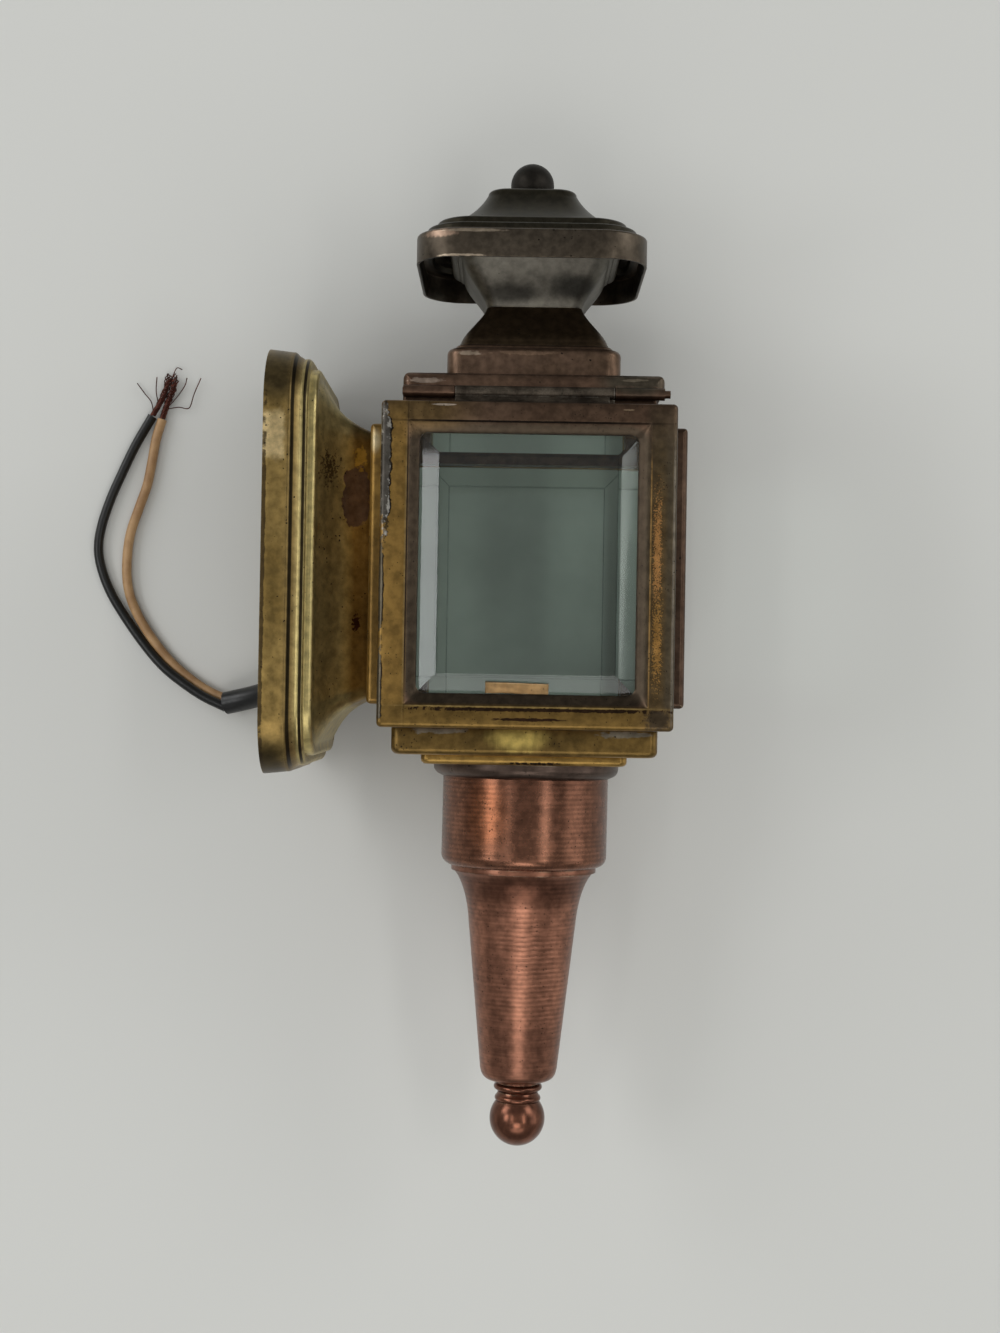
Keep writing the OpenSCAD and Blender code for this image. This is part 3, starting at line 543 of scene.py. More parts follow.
def curve(p0: tuple[float, float], p1: tuple[float, float], p2: tuple[float, float],
          p3: tuple[float, float], steps: int) -> list[tuple[float, float]]:
    """Returns points on a cubic curve in a profile."""
    points = []
    for i in range(steps + 1):
        t = i / steps
        s = 1 - t
        weights = (s ** 3, 3 * s * s * t, 3 * s * t * t, t ** 3)
        points.append(tuple(sum(w * p[k] for w, p in zip(weights, (p0, p1, p2, p3)))
                            for k in (0, 1)))
    return points


def round_corners(half: tuple[float, float], level: float, rise: float,
                  factor: tuple[float, float]) -> None:
    """Changes the corner radii of the ring that was just drawn and leaves it selected.

    Args:
        half: The ring's half width and half height in millimetres.
        level: Its height along Z in millimetres.
        rise: Its middle along Y in millimetres.
        factor: New radius over the present one, along X and along Y.
    """
    mesh = bmesh.from_edit_mesh(bpy.context.object.data)
    ring = [v for v in mesh.verts if v.select]
    for side_x, side_y in ((1, 1), (1, -1), (-1, -1), (-1, 1)):
        for vertex in mesh.verts:
            vertex.select = False
        for vertex in ring:
            vertex.select = (vertex.co.x * side_x > 0
                             and (vertex.co.y - rise * MM) * side_y > 0)
        mesh.select_flush_mode()
        bmesh.update_edit_mesh(bpy.context.object.data)
        bpy.ops.transform.resize(
            value=(*factor, 1),
            center_override=(side_x * half[0] * MM, (rise + side_y * half[1]) * MM, level * MM))
    chosen = set(ring)
    for vertex in chosen:
        vertex.select = True
    for edge in mesh.edges:
        edge.select = edge.verts[0] in chosen and edge.verts[1] in chosen
    bmesh.update_edit_mesh(bpy.context.object.data)


def draw_rings(rings: list[Ring], segments: int) -> bpy.types.Object:
    """Extrudes a rounded rectangle from ring to ring and stays in edit mode.

    Args:
        rings: Half width, half height, corner radius, level along Z and rise along Y of each.
        segments: Segments of one corner.

    Returns:
        The object, with its last ring selected.
    """
    half_x, half_y, corner, level, rise = rings[0]
    bpy.ops.mesh.primitive_plane_add(size=1, location=(0, rise * MM, level * MM))
    bpy.context.object.scale = (2 * half_x * MM, 2 * half_y * MM, 1)
    bpy.ops.object.transform_apply(location=True, scale=True)
    bpy.ops.object.mode_set(mode="EDIT")
    bpy.ops.mesh.select_mode(type="VERT")
    bpy.ops.mesh.select_all(action="SELECT")
    bpy.ops.mesh.bevel(offset=corner * MM, segments=segments, affect="VERTICES")
    bpy.ops.mesh.select_all(action="SELECT")
    bpy.ops.mesh.delete(type="ONLY_FACE")
    bpy.ops.mesh.select_all(action="SELECT")
    radii = (corner, corner)
    for next_x, next_y, wanted, next_level, next_rise in rings[1:]:
        bpy.ops.mesh.extrude_edges_indiv()
        bpy.ops.transform.translate(value=(0, (next_rise - rise) * MM, (next_level - level) * MM))
        grow = (next_x / half_x, next_y / half_y)
        bpy.ops.transform.resize(value=(*grow, 1),
                                 center_override=(0, next_rise * MM, next_level * MM))
        radii = (radii[0] * grow[0], radii[1] * grow[1])
        if max(abs(wanted - r) for r in radii) > 0.01:
            round_corners((next_x, next_y), next_level, next_rise,
                          (wanted / radii[0], wanted / radii[1]))
            radii = (wanted, wanted)
        half_x, half_y, level, rise = next_x, next_y, next_level, next_rise
    return bpy.context.object


@dataclass
class Pressing:
    """A shell that is drawn ring by ring from an outline.

    Profile points are (half width, height) in millimetres. A square pressing has rounded corners
    whose radius shrinks as it gets narrower, and a round one starts as a circle.
    """

    name: str
    profile: list[tuple[float, float]]
    corner: float = 0.0
    corner_shrink: float = 0.0
    second_half: float = 0.0
    wall: float = SHEET
    segments: int = 10
    round_sides: int = 96
    edge_width: float = 0.0
    capped: bool = False
    solid: bool = False

    def build(self, place: Matrix) -> bpy.types.Object:
        """Draws the shell.

        Args:
            place: Where it goes; the profile's height runs along its Z.

        Returns:
            The settled piece.
        """
        deselect()
        piece = draw_rings(self._rings(), self.segments) if self.corner else self._turn()
        if self.capped:
            bpy.ops.mesh.edge_face_add()
        bpy.ops.mesh.select_all(action="SELECT")
        bpy.ops.mesh.remove_doubles(threshold=1e-7)
        bpy.ops.mesh.normals_make_consistent(inside=False)
        bpy.ops.object.mode_set(mode="OBJECT")
        self._thicken(piece)
        piece.matrix_world = place
        return settle(piece, self.name)

    def _rings(self) -> list[Ring]:
        """Returns a square pressing's rings."""
        half = self.profile[0][0]
        other = self.second_half or half
        return [(x, other - (half - x), max(self.corner - self.corner_shrink * (half - x), 0.8),
                 level, 0.0) for x, level in self.profile]

    def _turn(self) -> bpy.types.Object:
        """Draws a round pressing and leaves its last ring selected in edit mode."""
        half, level = self.profile[0]
        bpy.ops.mesh.primitive_circle_add(vertices=self.round_sides, radius=half * MM,
                                          location=(0, 0, level * MM))
        bpy.ops.object.transform_apply(location=True)
        bpy.ops.object.mode_set(mode="EDIT")
        bpy.ops.mesh.select_all(action="SELECT")
        for next_half, next_level in self.profile[1:]:
            bpy.ops.mesh.extrude_edges_indiv()
            bpy.ops.transform.translate(value=(0, 0, (next_level - level) * MM))
            bpy.ops.transform.resize(value=(next_half / half, next_half / half, 1),
                                     center_override=(0, 0, next_level * MM))
            half, level = next_half, next_level
        return bpy.context.object

    def _thicken(self, piece: bpy.types.Object) -> None:
        """Gives the sheet its wall and breaks its sharp edges."""
        bpy.context.view_layer.objects.active = piece
        if not self.solid:
            shell = piece.modifiers.new("wall", "SOLIDIFY")
            shell.thickness = self.wall * MM
            shell.offset = -1.0
            bpy.ops.object.modifier_apply(modifier=shell.name)
        if self.edge_width:
            edge = piece.modifiers.new("edge", "BEVEL")
            edge.width = self.edge_width * MM
            edge.segments = 2
            edge.limit_method = "ANGLE"
            edge.angle_limit = math.radians(40)
            bpy.ops.object.modifier_apply(modifier=edge.name)


@dataclass
class PhotoCamera:
    """The camera at the photograph's viewing angle; lengths in millimetres, angles in degrees."""

    distance: float = 616.2
    across: float = 8.47
    up: float = 29.56
    yaw: float = -0.376
    pitch: float = -0.754
    roll: float = 0.962
    lens: float = 51.4

    def build(self) -> None:
        """Adds the camera and makes it the scene's."""
        roll = math.radians(self.roll)
        tilt = Matrix(((math.cos(roll), 0, math.sin(roll)), (0, 1, 0),
                       (-math.sin(roll), 0, math.cos(roll))))
        turn = (tilt @ Matrix.Rotation(math.radians(self.pitch), 3, "X")
                @ Matrix.Rotation(math.radians(self.yaw), 3, "Z"))
        local = turn.transposed() @ Vector((self.across, self.distance, self.up))
        data = bpy.data.cameras.new("camera")
        data.lens = self.lens
        data.sensor_width = 36.0
        data.dof.use_dof = False
        data.clip_start = 0.01
        camera = bpy.data.objects.new("camera", data)
        bpy.context.scene.collection.objects.link(camera)
        right, forward, top = turn[0], turn[1], turn[2]
        place = Matrix((right, top, -forward)).transposed().to_4x4()
        place.translation = Vector(on_axis(-local.x, -local.y, -local.z))
        camera.matrix_world = place
        bpy.context.scene.camera = camera


@dataclass
class Studio:
    """Pale surface behind the lantern, soft lamps and a plain world."""

    surface_y: float = 48.7
    surface_half: float = 1500.0
    surface_colour: Rgb = (0.64, 0.643, 0.62)
    world_colour: Rgb = (0.62, 0.63, 0.62)
    world_strength: float = 0.635
    mirrored_strength: float = 0.36

    def build(self) -> None:
        """Adds the backdrop, the lamps and the world."""
        self._surface()
        self._lamp("window_left", (-830, -770, -40), (260, 420), 1.55, (0.98, 0.99, 1.0))
        self._lamp("sky_left", (-1150, -600, 700), (600, 700), 4.6, (0.99, 0.99, 1.0))
        self._lamp("strip_left", (-440, -1060, -60), (60, 700), 0.55, (1.0, 0.99, 0.97))
        self._lamp("strip_right", (560, -1050, -60), (110, 700), 1.3, (1.0, 0.99, 0.97))
        self._lamp("low_front", (-30, -1000, -600), (460, 330), 1.5, (1.0, 0.98, 0.96))
        self._lamp("bounce", (0, -760, -900), (900, 240), 1.1, (1.0, 0.99, 0.97))
        self._lamp("side_right", (1400, -420, 0), (800, 1200), 3.0, (1.0, 1.0, 0.99))
        self._lamp("sky_right", (1100, -700, 700), (600, 600), 3.6, (1.0, 1.0, 0.99))
        self._world()

    def _surface(self) -> None:
        """Adds the plain surface; its back doesn't show, so it hides nothing from behind."""
        deselect()
        bpy.ops.mesh.primitive_plane_add(size=2 * self.surface_half * MM)
        plane = bpy.context.object
        plane.matrix_world = (Matrix.Translation((AXIS_X * MM, self.surface_y * MM, 0))
                              @ Matrix.Rotation(math.radians(90), 4, "X"))
        settle(plane, "surface")
        material, g, shader = start_material("surface")
        g.fill(shader, {"Base Color": (*self.surface_colour, 1.0), "Roughness": 0.9})
        clear = g.add("ShaderNodeBsdfTransparent").outputs[0]
        behind = g.add("ShaderNodeNewGeometry").outputs["Backfacing"]
        both = g.add("ShaderNodeMixShader", {0: behind, 1: shader.outputs[0], 2: clear})
        g.fill(g.tree.nodes["Material Output"], {0: both.outputs[0]})
        plane.data.materials.append(material)

    @staticmethod
    def _lamp(name: str, place: Vec, size: tuple[float, float], power: float, colour: Rgb) -> None:
        """Adds one soft lamp that looks at the lantern.

        Args:
            name: The lamp's name.
            place: Its place about the lantern's axis, in millimetres.
            size: Width and height of its face, in millimetres.
            power: Its power in watts.
            colour: Its colour.
        """
        data = bpy.data.lights.new(name, "AREA")
        data.shape = "RECTANGLE"
        data.size, data.size_y = (s * MM for s in size)
        data.energy = power
        data.color = colour
        lamp = bpy.data.objects.new(name, data)
        bpy.context.scene.collection.objects.link(lamp)
        lamp.location = on_axis(*place)
        aim = Vector(on_axis(0, 0, 0)) - lamp.location
        lamp.rotation_euler = aim.to_track_quat("-Z", "Y").to_euler()

    def _world(self) -> None:
        """Sets a pale world that is darker in mirrored light."""
        world = bpy.data.worlds.new("studio")
        world.use_nodes = True
        g = Graph(world.node_tree)
        path = g.add("ShaderNodeLightPath").outputs
        strength = g.ramp(path["Is Glossy Ray"], 0.0, 1.0, self.world_strength,
                          self.mirrored_strength)
        g.fill(world.node_tree.nodes["Background"],
               {"Color": (*self.world_colour, 1.0), "Strength": strength})
        bpy.context.scene.world = world
        bpy.context.scene.view_settings.view_transform = "Standard"


@dataclass
class Leads:
    """The sleeve, the two stiff leads and their bared strands; routes in millimetres."""

    lead_r: float = 1.65
    sleeve_r: float = 3.9
    wires: int = 10
    wire_r: float = 0.19
    sleeve_route: tuple[Vec, ...] = (
        (34.6, 0, -34.4), (30.6, 0, -34.4), (24, 2.4, -36), (16, 10, -37), (8, 20, -38),
        (0, 30, -39.5), (-8, 37, -41), (-16, 41.5, -43), (-23, 43.6, -44.6))
    black_route: tuple[Vec, ...] = (
        (-23, 42.6, -46), (-31, 43.6, -42.4), (-38, 44.3, -38), (-45, 45, -32.6),
        (-51.5, 46, -25.6), (-58, 46.6, -17), (-64, 46.6, -7.6), (-67.6, 46.6, 1),
        (-69, 46.6, 8.5), (-68, 46.6, 16.5), (-65, 46.6, 26), (-61.2, 46.6, 35),
        (-56.6, 46.6, 45), (-51, 46.6, 55))
    tan_route: tuple[Vec, ...] = (
        (-23, 45.4, -43.2), (-28, 46, -41.3), (-33.5, 46.4, -38.2), (-41.5, 46.6, -32),
        (-48, 46.6, -24.8), (-54.2, 46.6, -15.6), (-58, 46.6, -6.6), (-59, 46.6, 3),
        (-58, 46.6, 13.5), (-55.2, 46.6, 22.6), (-52.4, 46.6, 31), (-50.8, 46.6, 39.6),
        (-49.6, 46.6, 47), (-47.6, 46.6, 54))
    black_end: tuple[Vec, ...] = ((-51, 46.6, 55), (-48, 46.6, 60.5), (-46, 46.6, 66),
                                  (-45.6, 46.6, 70))
    tan_end: tuple[Vec, ...] = ((-47.6, 46.6, 54), (-46, 46.6, 59), (-44, 46.6, 64.5),
                                (-43, 46.6, 70))

    @staticmethod
    def _smooth(route: tuple[Vec, ...], steps: int) -> list[Vector]:
        """Returns points on one smooth line through the route's points."""
        points = [Vector(p) for p in route]
        padded = [2 * points[0] - points[1], *points, 2 * points[-1] - points[-2]]
        line = []
        for a, b, c, d in zip(padded, padded[1:], padded[2:], padded[3:]):
            for i in range(steps):
                t = i / steps
                line.append(0.5 * (2 * b + (c - a) * t + (2 * a - 5 * b + 4 * c - d) * t * t
                                   + (3 * b - a - 3 * c + d) * t ** 3))
        return [p * MM for p in line + [points[-1]]]

    @staticmethod
    def _tube(name: str, line: list[Vector], radii: list[float], sides: int) -> bpy.types.Object:
        """Makes a tube along a line.

        Args:
            name: The piece's name.
            line: Points in metres.
            radii: One radius per point, in metres.
            sides: Sides of the tube.

        Returns:
            The settled mesh piece.
        """
        deselect()
        data = bpy.data.curves.new(name, "CURVE")
        data.dimensions = "3D"
        spline = data.splines.new("POLY")
        spline.points.add(len(line) - 1)
        for point, place, radius in zip(spline.points, line, radii):
            point.co = (*place, 1.0)
            point.radius = radius / radii[0]
        data.bevel_depth = radii[0]
        data.bevel_resolution = max((sides - 4) // 2, 0)
        data.use_fill_caps = True
        piece = bpy.data.objects.new(name, data)
        bpy.context.scene.collection.objects.link(piece)
        bpy.context.view_layer.objects.active = piece
        piece.select_set(True)
        bpy.ops.object.convert(target="MESH")
        return settle(bpy.context.object, name)

    def build(self, finishes: dict[str, bpy.types.Material]) -> None:
        self._sleeve(finishes["black_insulation"])
        parts = (("black", self.black_route, self.black_end, "black_insulation", 1),
                 ("tan", self.tan_route, self.tan_end, "tan_insulation", 2))
        for colour, route, end, slot, seed in parts:
            line = self._smooth(route, 6)
            lead = self._tube(f"{colour}_flex", line, [self.lead_r * MM] * len(line), 20)
            finish_piece(lead, Body.LANTERN, finishes[slot], (f"{colour}_lead",), 60)
            strands = self._strands(f"{colour}_bare_end", end, seed)
            finish_piece(strands, Body.LANTERN, finishes["bare_copper"],
                         (f"{colour}_strands",), 60)

    def _sleeve(self, material: bpy.types.Material) -> bpy.types.Object:
        """Makes the shrunk sleeve, which widens to its full size where the leads leave it."""
        line = self._smooth(self.sleeve_route, 5)
        tight, first, last = 0.86, 12, 28
        radii = [self.sleeve_r * MM
                 * (tight + (1 - tight) * min(1, max(0, (i - first) / (last - first))))
                 for i in range(len(line))]
        sleeve = self._tube("lead_sleeve_skin", line, radii, 24)
        return finish_piece(sleeve, Body.LANTERN, material,
                            ("lead_sleeve",), 50)

    def _strands(self, name: str, route: tuple[Vec, ...], seed: int) -> bpy.types.Object:
        """Twists fine wires round a bared end and bends a few of them away.

        Args:
            name: The piece's name.
            route: The middle line of the bared end.
            seed: Tells the two ends apart.

        Returns:
            One mesh piece.
        """
        line = self._smooth(route, 10)
        wires = []
        for k in range(self.wires):
            turned = []
            for i, place in enumerate(line[:len(line) - 3 * k % 8]):
                share = i / (len(line) - 1)
                angle = 2 * math.pi * (k / self.wires + 2.4 * share) + seed
                spread = 0.9 + 0.55 * share * math.sin(17 * share + 2.3 * k * seed)
                turned.append(place + Vector((math.cos(angle), math.sin(angle), 0.2)) * spread * MM)
            wires.append(self._tube(f"{name}_{k}", turned, [self.wire_r * MM] * len(turned), 6))
        for k, loose in enumerate(self._loose_wires(seed)):
            points = self._smooth(loose, 5)
            wires.append(self._tube(f"{name}_loose_{k}", points, [self.wire_r * MM] * len(points), 6))
        deselect()
        for wire in wires:
            wire.select_set(True)
        bpy.context.view_layer.objects.active = wires[0]
        bpy.ops.object.join()
        return settle(bpy.context.object, name)

    @staticmethod
    def _loose_wires(seed: int) -> tuple[tuple[Vec, ...], ...]:
        """Returns the routes of the stray wires, in millimetres."""
        if seed == 1:
            return (((-50.6, 46.6, 55.5), (-51.6, 47, 60), (-54, 47.4, 63), (-56.7, 47.2, 66.6)),
                    ((-49, 46.6, 59), (-50, 47, 64), (-49.8, 47, 68.8)))
        return (((-46, 46.6, 58), (-42.6, 47, 62), (-40, 47, 66), (-39.3, 47, 68.7)),
                ((-46, 46.6, 57.6), (-42, 47, 58.4), (-38.4, 47.2, 58.2), (-36.8, 47.2, 63),
                 (-34.4, 47, 68.7)),
                ((-44.6, 46.6, 68), (-43, 47, 72), (-41, 47, 71.6)))


@dataclass
class WallPlate:
    """The pressed wall plate and what is behind it."""

    half_height: float = 65.5
    half_width: float = 47.0
    corner: float = 19.0
    rim: float = 8.1
    depth: float = 31.6
    neck_in: float = 24.0

    def profile(self) -> list[tuple[float, float]]:
        """Returns the plate's outer line as (half height, distance from the wall)."""
        rim = self.rim
        line = [(0.0, 0.0), (0.4, rim * 0.5), (0.75, rim - 0.8), *arc((2.2, rim - 0.8), 1.5, 180, 110, 4),
                (2.5, rim + 2.1), *arc((4.2, rim + 3.4), 1.6, 215, 90, 7), (5.6, rim + 4.4),
                *arc((7, rim + 6.2), 1.3, 200, 70, 6),
                *curve((9, rim + 7.4), (12, rim + 9.2), (16.4, rim + 11), (19.6, rim + 15), 10),
                (21.0, rim + 17.1), (22.2, rim + 19.2), (23.2, rim + 21.4), (self.neck_in, self.depth)]
        return [(self.half_height - inset, min(level, self.depth)) for inset, level in line]

    def build(self, finishes: dict[str, bpy.types.Material]) -> None:
        """Draws the plate and dresses the bar, the blind frame and the bush."""
        shell = Pressing("wall_plate_shell", self.profile(), self.corner, 0.62,
                         self.half_width, segments=12, edge_width=0.12)
        upright = Matrix(((0, 0, 1, 0), (0, 1, 0, 0), (-1, 0, 0, 0), (0, 0, 0, 1)))
        plate = shell.build(upright)
        finish_piece(plate, Body.LANTERN, finishes["plate_brass"], ("wall_plate",))
        dress("mounting_bar", finishes["plated_steel"])
        dress("wall_frame", finishes["side_brass"])
        dress("lead_bush", finishes["black_plastic"])


@dataclass
class Chimney:
    """The chimney's two pressings, the canopy and what ties them to the lid."""

    shift: float = 1.2
    foot_z: float = 58.95
    half: float = 27.1
    neck: float = 15.0
    corner: float = 4.9
    edge_r: float = 2.2
    foot_h: float = 10.2
    foot_rise: float = 12.6
    flare_rise: float = 13.4
    rim_h: float = 7.0
    flare_top: float = 105.55
    canopy_z: float = 95.15
    canopy_half: float = 36.0
    canopy_corner: float = 14.0
    skirt_h: float = 9.0
    step_h: float = 2.7
    top_curve_h: float = 12.7
    top_half: float = 12.4
    ball_r: float = 7.0
    ball_cut: float = 2.9

    def _line(self, foot: float, rise: float) -> list[tuple[float, float]]:
        """Returns the line from the foot to the neck, heights from the foot."""
        level = foot + 2.2
        half, neck, edge = self.half, self.neck, self.edge_r
        return [(half, 0.0), (half, foot * 0.4), *arc((half - edge, foot - edge), edge, 0, 84, 8),
                (half - 2.45, foot + 0.2), (half - 2.65, foot + 0.7), (half - 3.0, foot + 1.05),
                (half - 3.7, foot + 1.2), (half - 3.9, foot + 1.9),
                *curve((half - 4.1, level), (neck + 7, level + 0.29 * rise),
                       (neck + 1.2, level + 0.68 * rise), (neck, level + rise), 18)]

    def _canopy_line(self) -> list[tuple[float, float]]:
        """Returns the canopy's line from its rim to its flat top."""
        first = self.skirt_h
        second = first + self.step_h
        third = second + self.step_h
        top = third + self.top_curve_h
        half, edge, flat = self.canopy_half, 1.1, self.top_half
        return [(half, 0.0), (half, first * 0.5), *arc((half - edge, first - edge), edge, 0, 80, 6),
                (half - 2.4, first + 0.25), (half - 2.9, first + 0.5),
                *arc((half - 4.2, second - 1.2), 1.1, 10, 80, 6),
                (half - 5.4, second + 0.1), (half - 5.9, second + 0.4),
                *arc((half - 7.4, third - 1.5), 1.3, 10, 80, 6), (half - 8.6, third),
                *curve((half - 11.6, third + 0.5), (flat + 8.1, third + 2.6),
                       (flat + 4.2, third + 6.4), (flat + 1.8, top - 1.8), 14),
                *arc((flat, top - 1.8), 1.8, 20, 90, 6), (6.0, top), (2.0, top)]

    def build(self, finishes: dict[str, bpy.types.Material]) -> None:
        """Draws the shells and the ball, and dresses the rod, the bridge and the nut."""
        top_z = self.canopy_z + self.skirt_h + 2 * self.step_h + self.top_curve_h
        foot = Pressing("chimney_foot_shell", self._line(self.foot_h, self.foot_rise), self.corner,
                        0.2, edge_width=0.1)
        piece = foot.build(Matrix.Translation(on_axis(self.shift, 0, self.foot_z)))
        finish_piece(piece, Body.LID, finishes["chimney_bronze"], ("chimney_base",))
        flare = Pressing("chimney_flare_shell", self._line(self.rim_h - 1, self.flare_rise),
                         self.corner + 2.4, 0.3, edge_width=0.1)
        turned = (Matrix.Translation(on_axis(self.shift, 0, self.flare_top))
                  @ Matrix.Rotation(math.pi, 4, "X"))
        finish_piece(flare.build(turned), Body.LID, finishes["dull_tin"],
                     ("chimney_flare",))
        canopy = Pressing("canopy_shell", self._canopy_line(), self.canopy_corner, 0.38,
                          edge_width=0.1)
        piece = canopy.build(Matrix.Translation(on_axis(0, 0, self.canopy_z)))
        finish_piece(piece, Body.LID, finishes["canopy_bronze"], ("canopy",))
        start = -math.degrees(math.asin(1 - self.ball_cut / self.ball_r))
        centre = (0, self.ball_r - self.ball_cut)
        ball = Pressing("top_ball", arc(centre, self.ball_r, start, 89, 28), solid=True,
                        capped=True)
        piece = ball.build(Matrix.Translation(on_axis(0, 0, top_z)))
        finish_piece(piece, Body.LID, finishes["dark_bronze"], ("top_finial",), 60)
        dress("lid_tray", finishes["lid_bronze"])
        for node, finish in (("tie_rod", "plated_steel"), ("tie_bridge", "plated_steel"),
                             ("tie_nut", "plain_brass")):
            dress(node, finishes[finish])


@dataclass
class Tail:
    """Collar, cup, cone and knob, all turned or spun about the lantern's axis."""

    step_z: float = -60.4
    cup_r: float = 26.6
    cup_h: float = 33.2
    cup_edge: float = 3.3
    collar_out: float = 3.2
    collar_h: float = 4.7
    cone_top: float = 23.3
    cone_neck: float = 17.5
    cone_foot: float = 12.4
    cone_h: float = 69.0
    band_h: float = 1.8
    flare_h: float = 14.2
    ball_r: float = 8.9
    neck_r: float = 7.0
    neck_h: float = 6.9
    lean: float = 0.5
    lean_about: float = -170.0

    def build(self, finishes: dict[str, bpy.types.Material]) -> None:
        """Turns the four copper pieces, whose top leans a little away from the wall."""
        foot_mm = Vector((0, 0, self.lean_about * MM))
        place = (Matrix.Translation(Vector(on_axis(0, 0, 0)) + foot_mm)
                 @ Matrix.Rotation(math.radians(self.lean), 4, "Y")
                 @ Matrix.Translation(-foot_mm))
        cup_z = self.step_z - self.cup_h
        cone_z = cup_z - self.cone_h
        foot = self.step_z - self.collar_h
        collar = [(self.cup_r + 0.05, foot + 0.01), (self.cup_r + 0.4, foot),
                  *arc((self.cup_r + 0.4, self.step_z - 1.6), self.collar_out - 0.4, -70, 0, 12),
                  (self.cup_r + self.collar_out, self.step_z), (self.cup_r + 0.05, self.step_z)]
        cup = [(5.2, cup_z), (14.0, cup_z),
               *arc((self.cup_r - self.cup_edge, cup_z + self.cup_edge), self.cup_edge, -90, 0, 12),
               (self.cup_r, cup_z + 12), (self.cup_r, self.step_z)]
        band, flare = cup_z - self.band_h, cup_z - self.band_h - self.flare_h
        cone = [(5.2, cone_z), (self.cone_foot - 3.8, cone_z),
                *curve((self.cone_foot - 2.4, cone_z + 0.2), (self.cone_foot - 0.9, cone_z + 0.8),
                       (self.cone_foot - 0.3, cone_z + 2), (self.cone_foot, cone_z + 4), 8),
                *reversed(curve((self.cone_top - 0.7, band), (self.cone_neck + 2.6, band - 2.4),
                                (self.cone_neck + 0.7, flare + 6), (self.cone_neck, flare), 16)),
                (self.cone_top, band + 0.1), (self.cone_top, cup_z)]
        neck = cone_z - self.neck_h
        middle = neck - math.sqrt(self.ball_r ** 2 - self.neck_r ** 2)
        start = math.degrees(math.acos(self.neck_r / self.ball_r))
        knob = [(6.0, cone_z - 0.01), (6.6, cone_z), (6.6, cone_z - 1.2),
                *arc((6.8, cone_z - 2.3), 1, 80, -80, 8), (6.4, cone_z - 4),
                *arc((6.3, cone_z - 5.9), 1.1, 60, -60, 8),
                *arc((0, middle), self.ball_r, start, -89, 30)]
        for name, line, nodes, wall, solid in (
                ("collar_ring_turned", collar, "collar_ring", 0, True),
                ("copper_cup_spun", cup, "copper_cup", SHEET, False),
                ("tail_cone_spun", cone, "tail_cone", SHEET, False),
                ("tail_knob_turned", knob, "tail_finial", 0, True)):
            piece = Pressing(name, line, wall=wall, solid=solid, round_sides=128,
                             capped=name.endswith("knob_turned"))
            shape = piece.build(place)
            finish_piece(shape, Body.LANTERN, finishes[nodes], (nodes,))


@dataclass
class WindowFrame:
    """A pressed frame whose face turns in to the pane over a sloping band.

    Each ring is (half width, half height, corner radius, distance in front of the axis, rise).
    """

    name: str
    half: tuple[float, float] = (44.4, 49.0)
    window: tuple[float, float] = (32.9, 39.1)
    rise: float = 0.5
    face: float = 48.4
    back: float = 38.6
    edge_r: float = 1.4
    wall: float = 1.6
    band: float = 3.6
    drop: float = 2.2
    window_corner: float = 2.6
    segments: int = 5

    def _rings(self) -> list[Ring]:
        """Returns the rings from the back edge over the face and the band to the inside."""
        (w, h), (a, b) = self.half, self.window
        land = self.face - self.drop - self.wall
        rings = [(w, h, self.edge_r, self.back, 0.0), (w, h, self.edge_r, 43.0, 0.0)]
        for x, y in arc((0, self.face - self.edge_r), self.edge_r, 0, 90, 4):
            inset = self.edge_r - x
            rings.append((w - inset, h - inset, max(self.edge_r - 0.4 * inset, 0.7), y, 0.0))
        for out, corner, depth in ((self.band + 0.35, 0.5, 0.0), (self.band, 0.5, 0.06),
                                   (self.band - 0.2, 0.6, 0.3), (2.4, 1.2, 1.15), (1.0, 2.0, 1.85),
                                   (0.25, 2.5, self.drop), (0.0, self.window_corner, self.drop + 0.3)):
            rings.append((a + out, b + out, corner, self.face - depth, self.rise))
        rings.append((a, b, self.window_corner, land, self.rise))
        rings.append((w - self.wall, h - self.wall, 0.7, land, 0.0))
        rings.append((w - self.wall, h - self.wall, 0.7, self.back, 0.0))
        return [*rings, rings[0]]

    def build(self, place: Matrix) -> bpy.types.Object:
        """Draws the rings, closes the last on the first and stands the frame up.

        Args:
            place: Where it goes; the frame looks along its -Y.

        Returns:
            The settled piece.
        """
        deselect()
        piece = draw_rings(self._rings(), self.segments)
        bpy.ops.mesh.select_all(action="SELECT")
        bpy.ops.mesh.remove_doubles(threshold=2e-6)
        bpy.ops.mesh.normals_make_consistent(inside=False)
        bpy.ops.object.mode_set(mode="OBJECT")
        piece.matrix_world = place @ Matrix.Rotation(math.radians(90), 4, "X")
        return settle(piece, self.name)


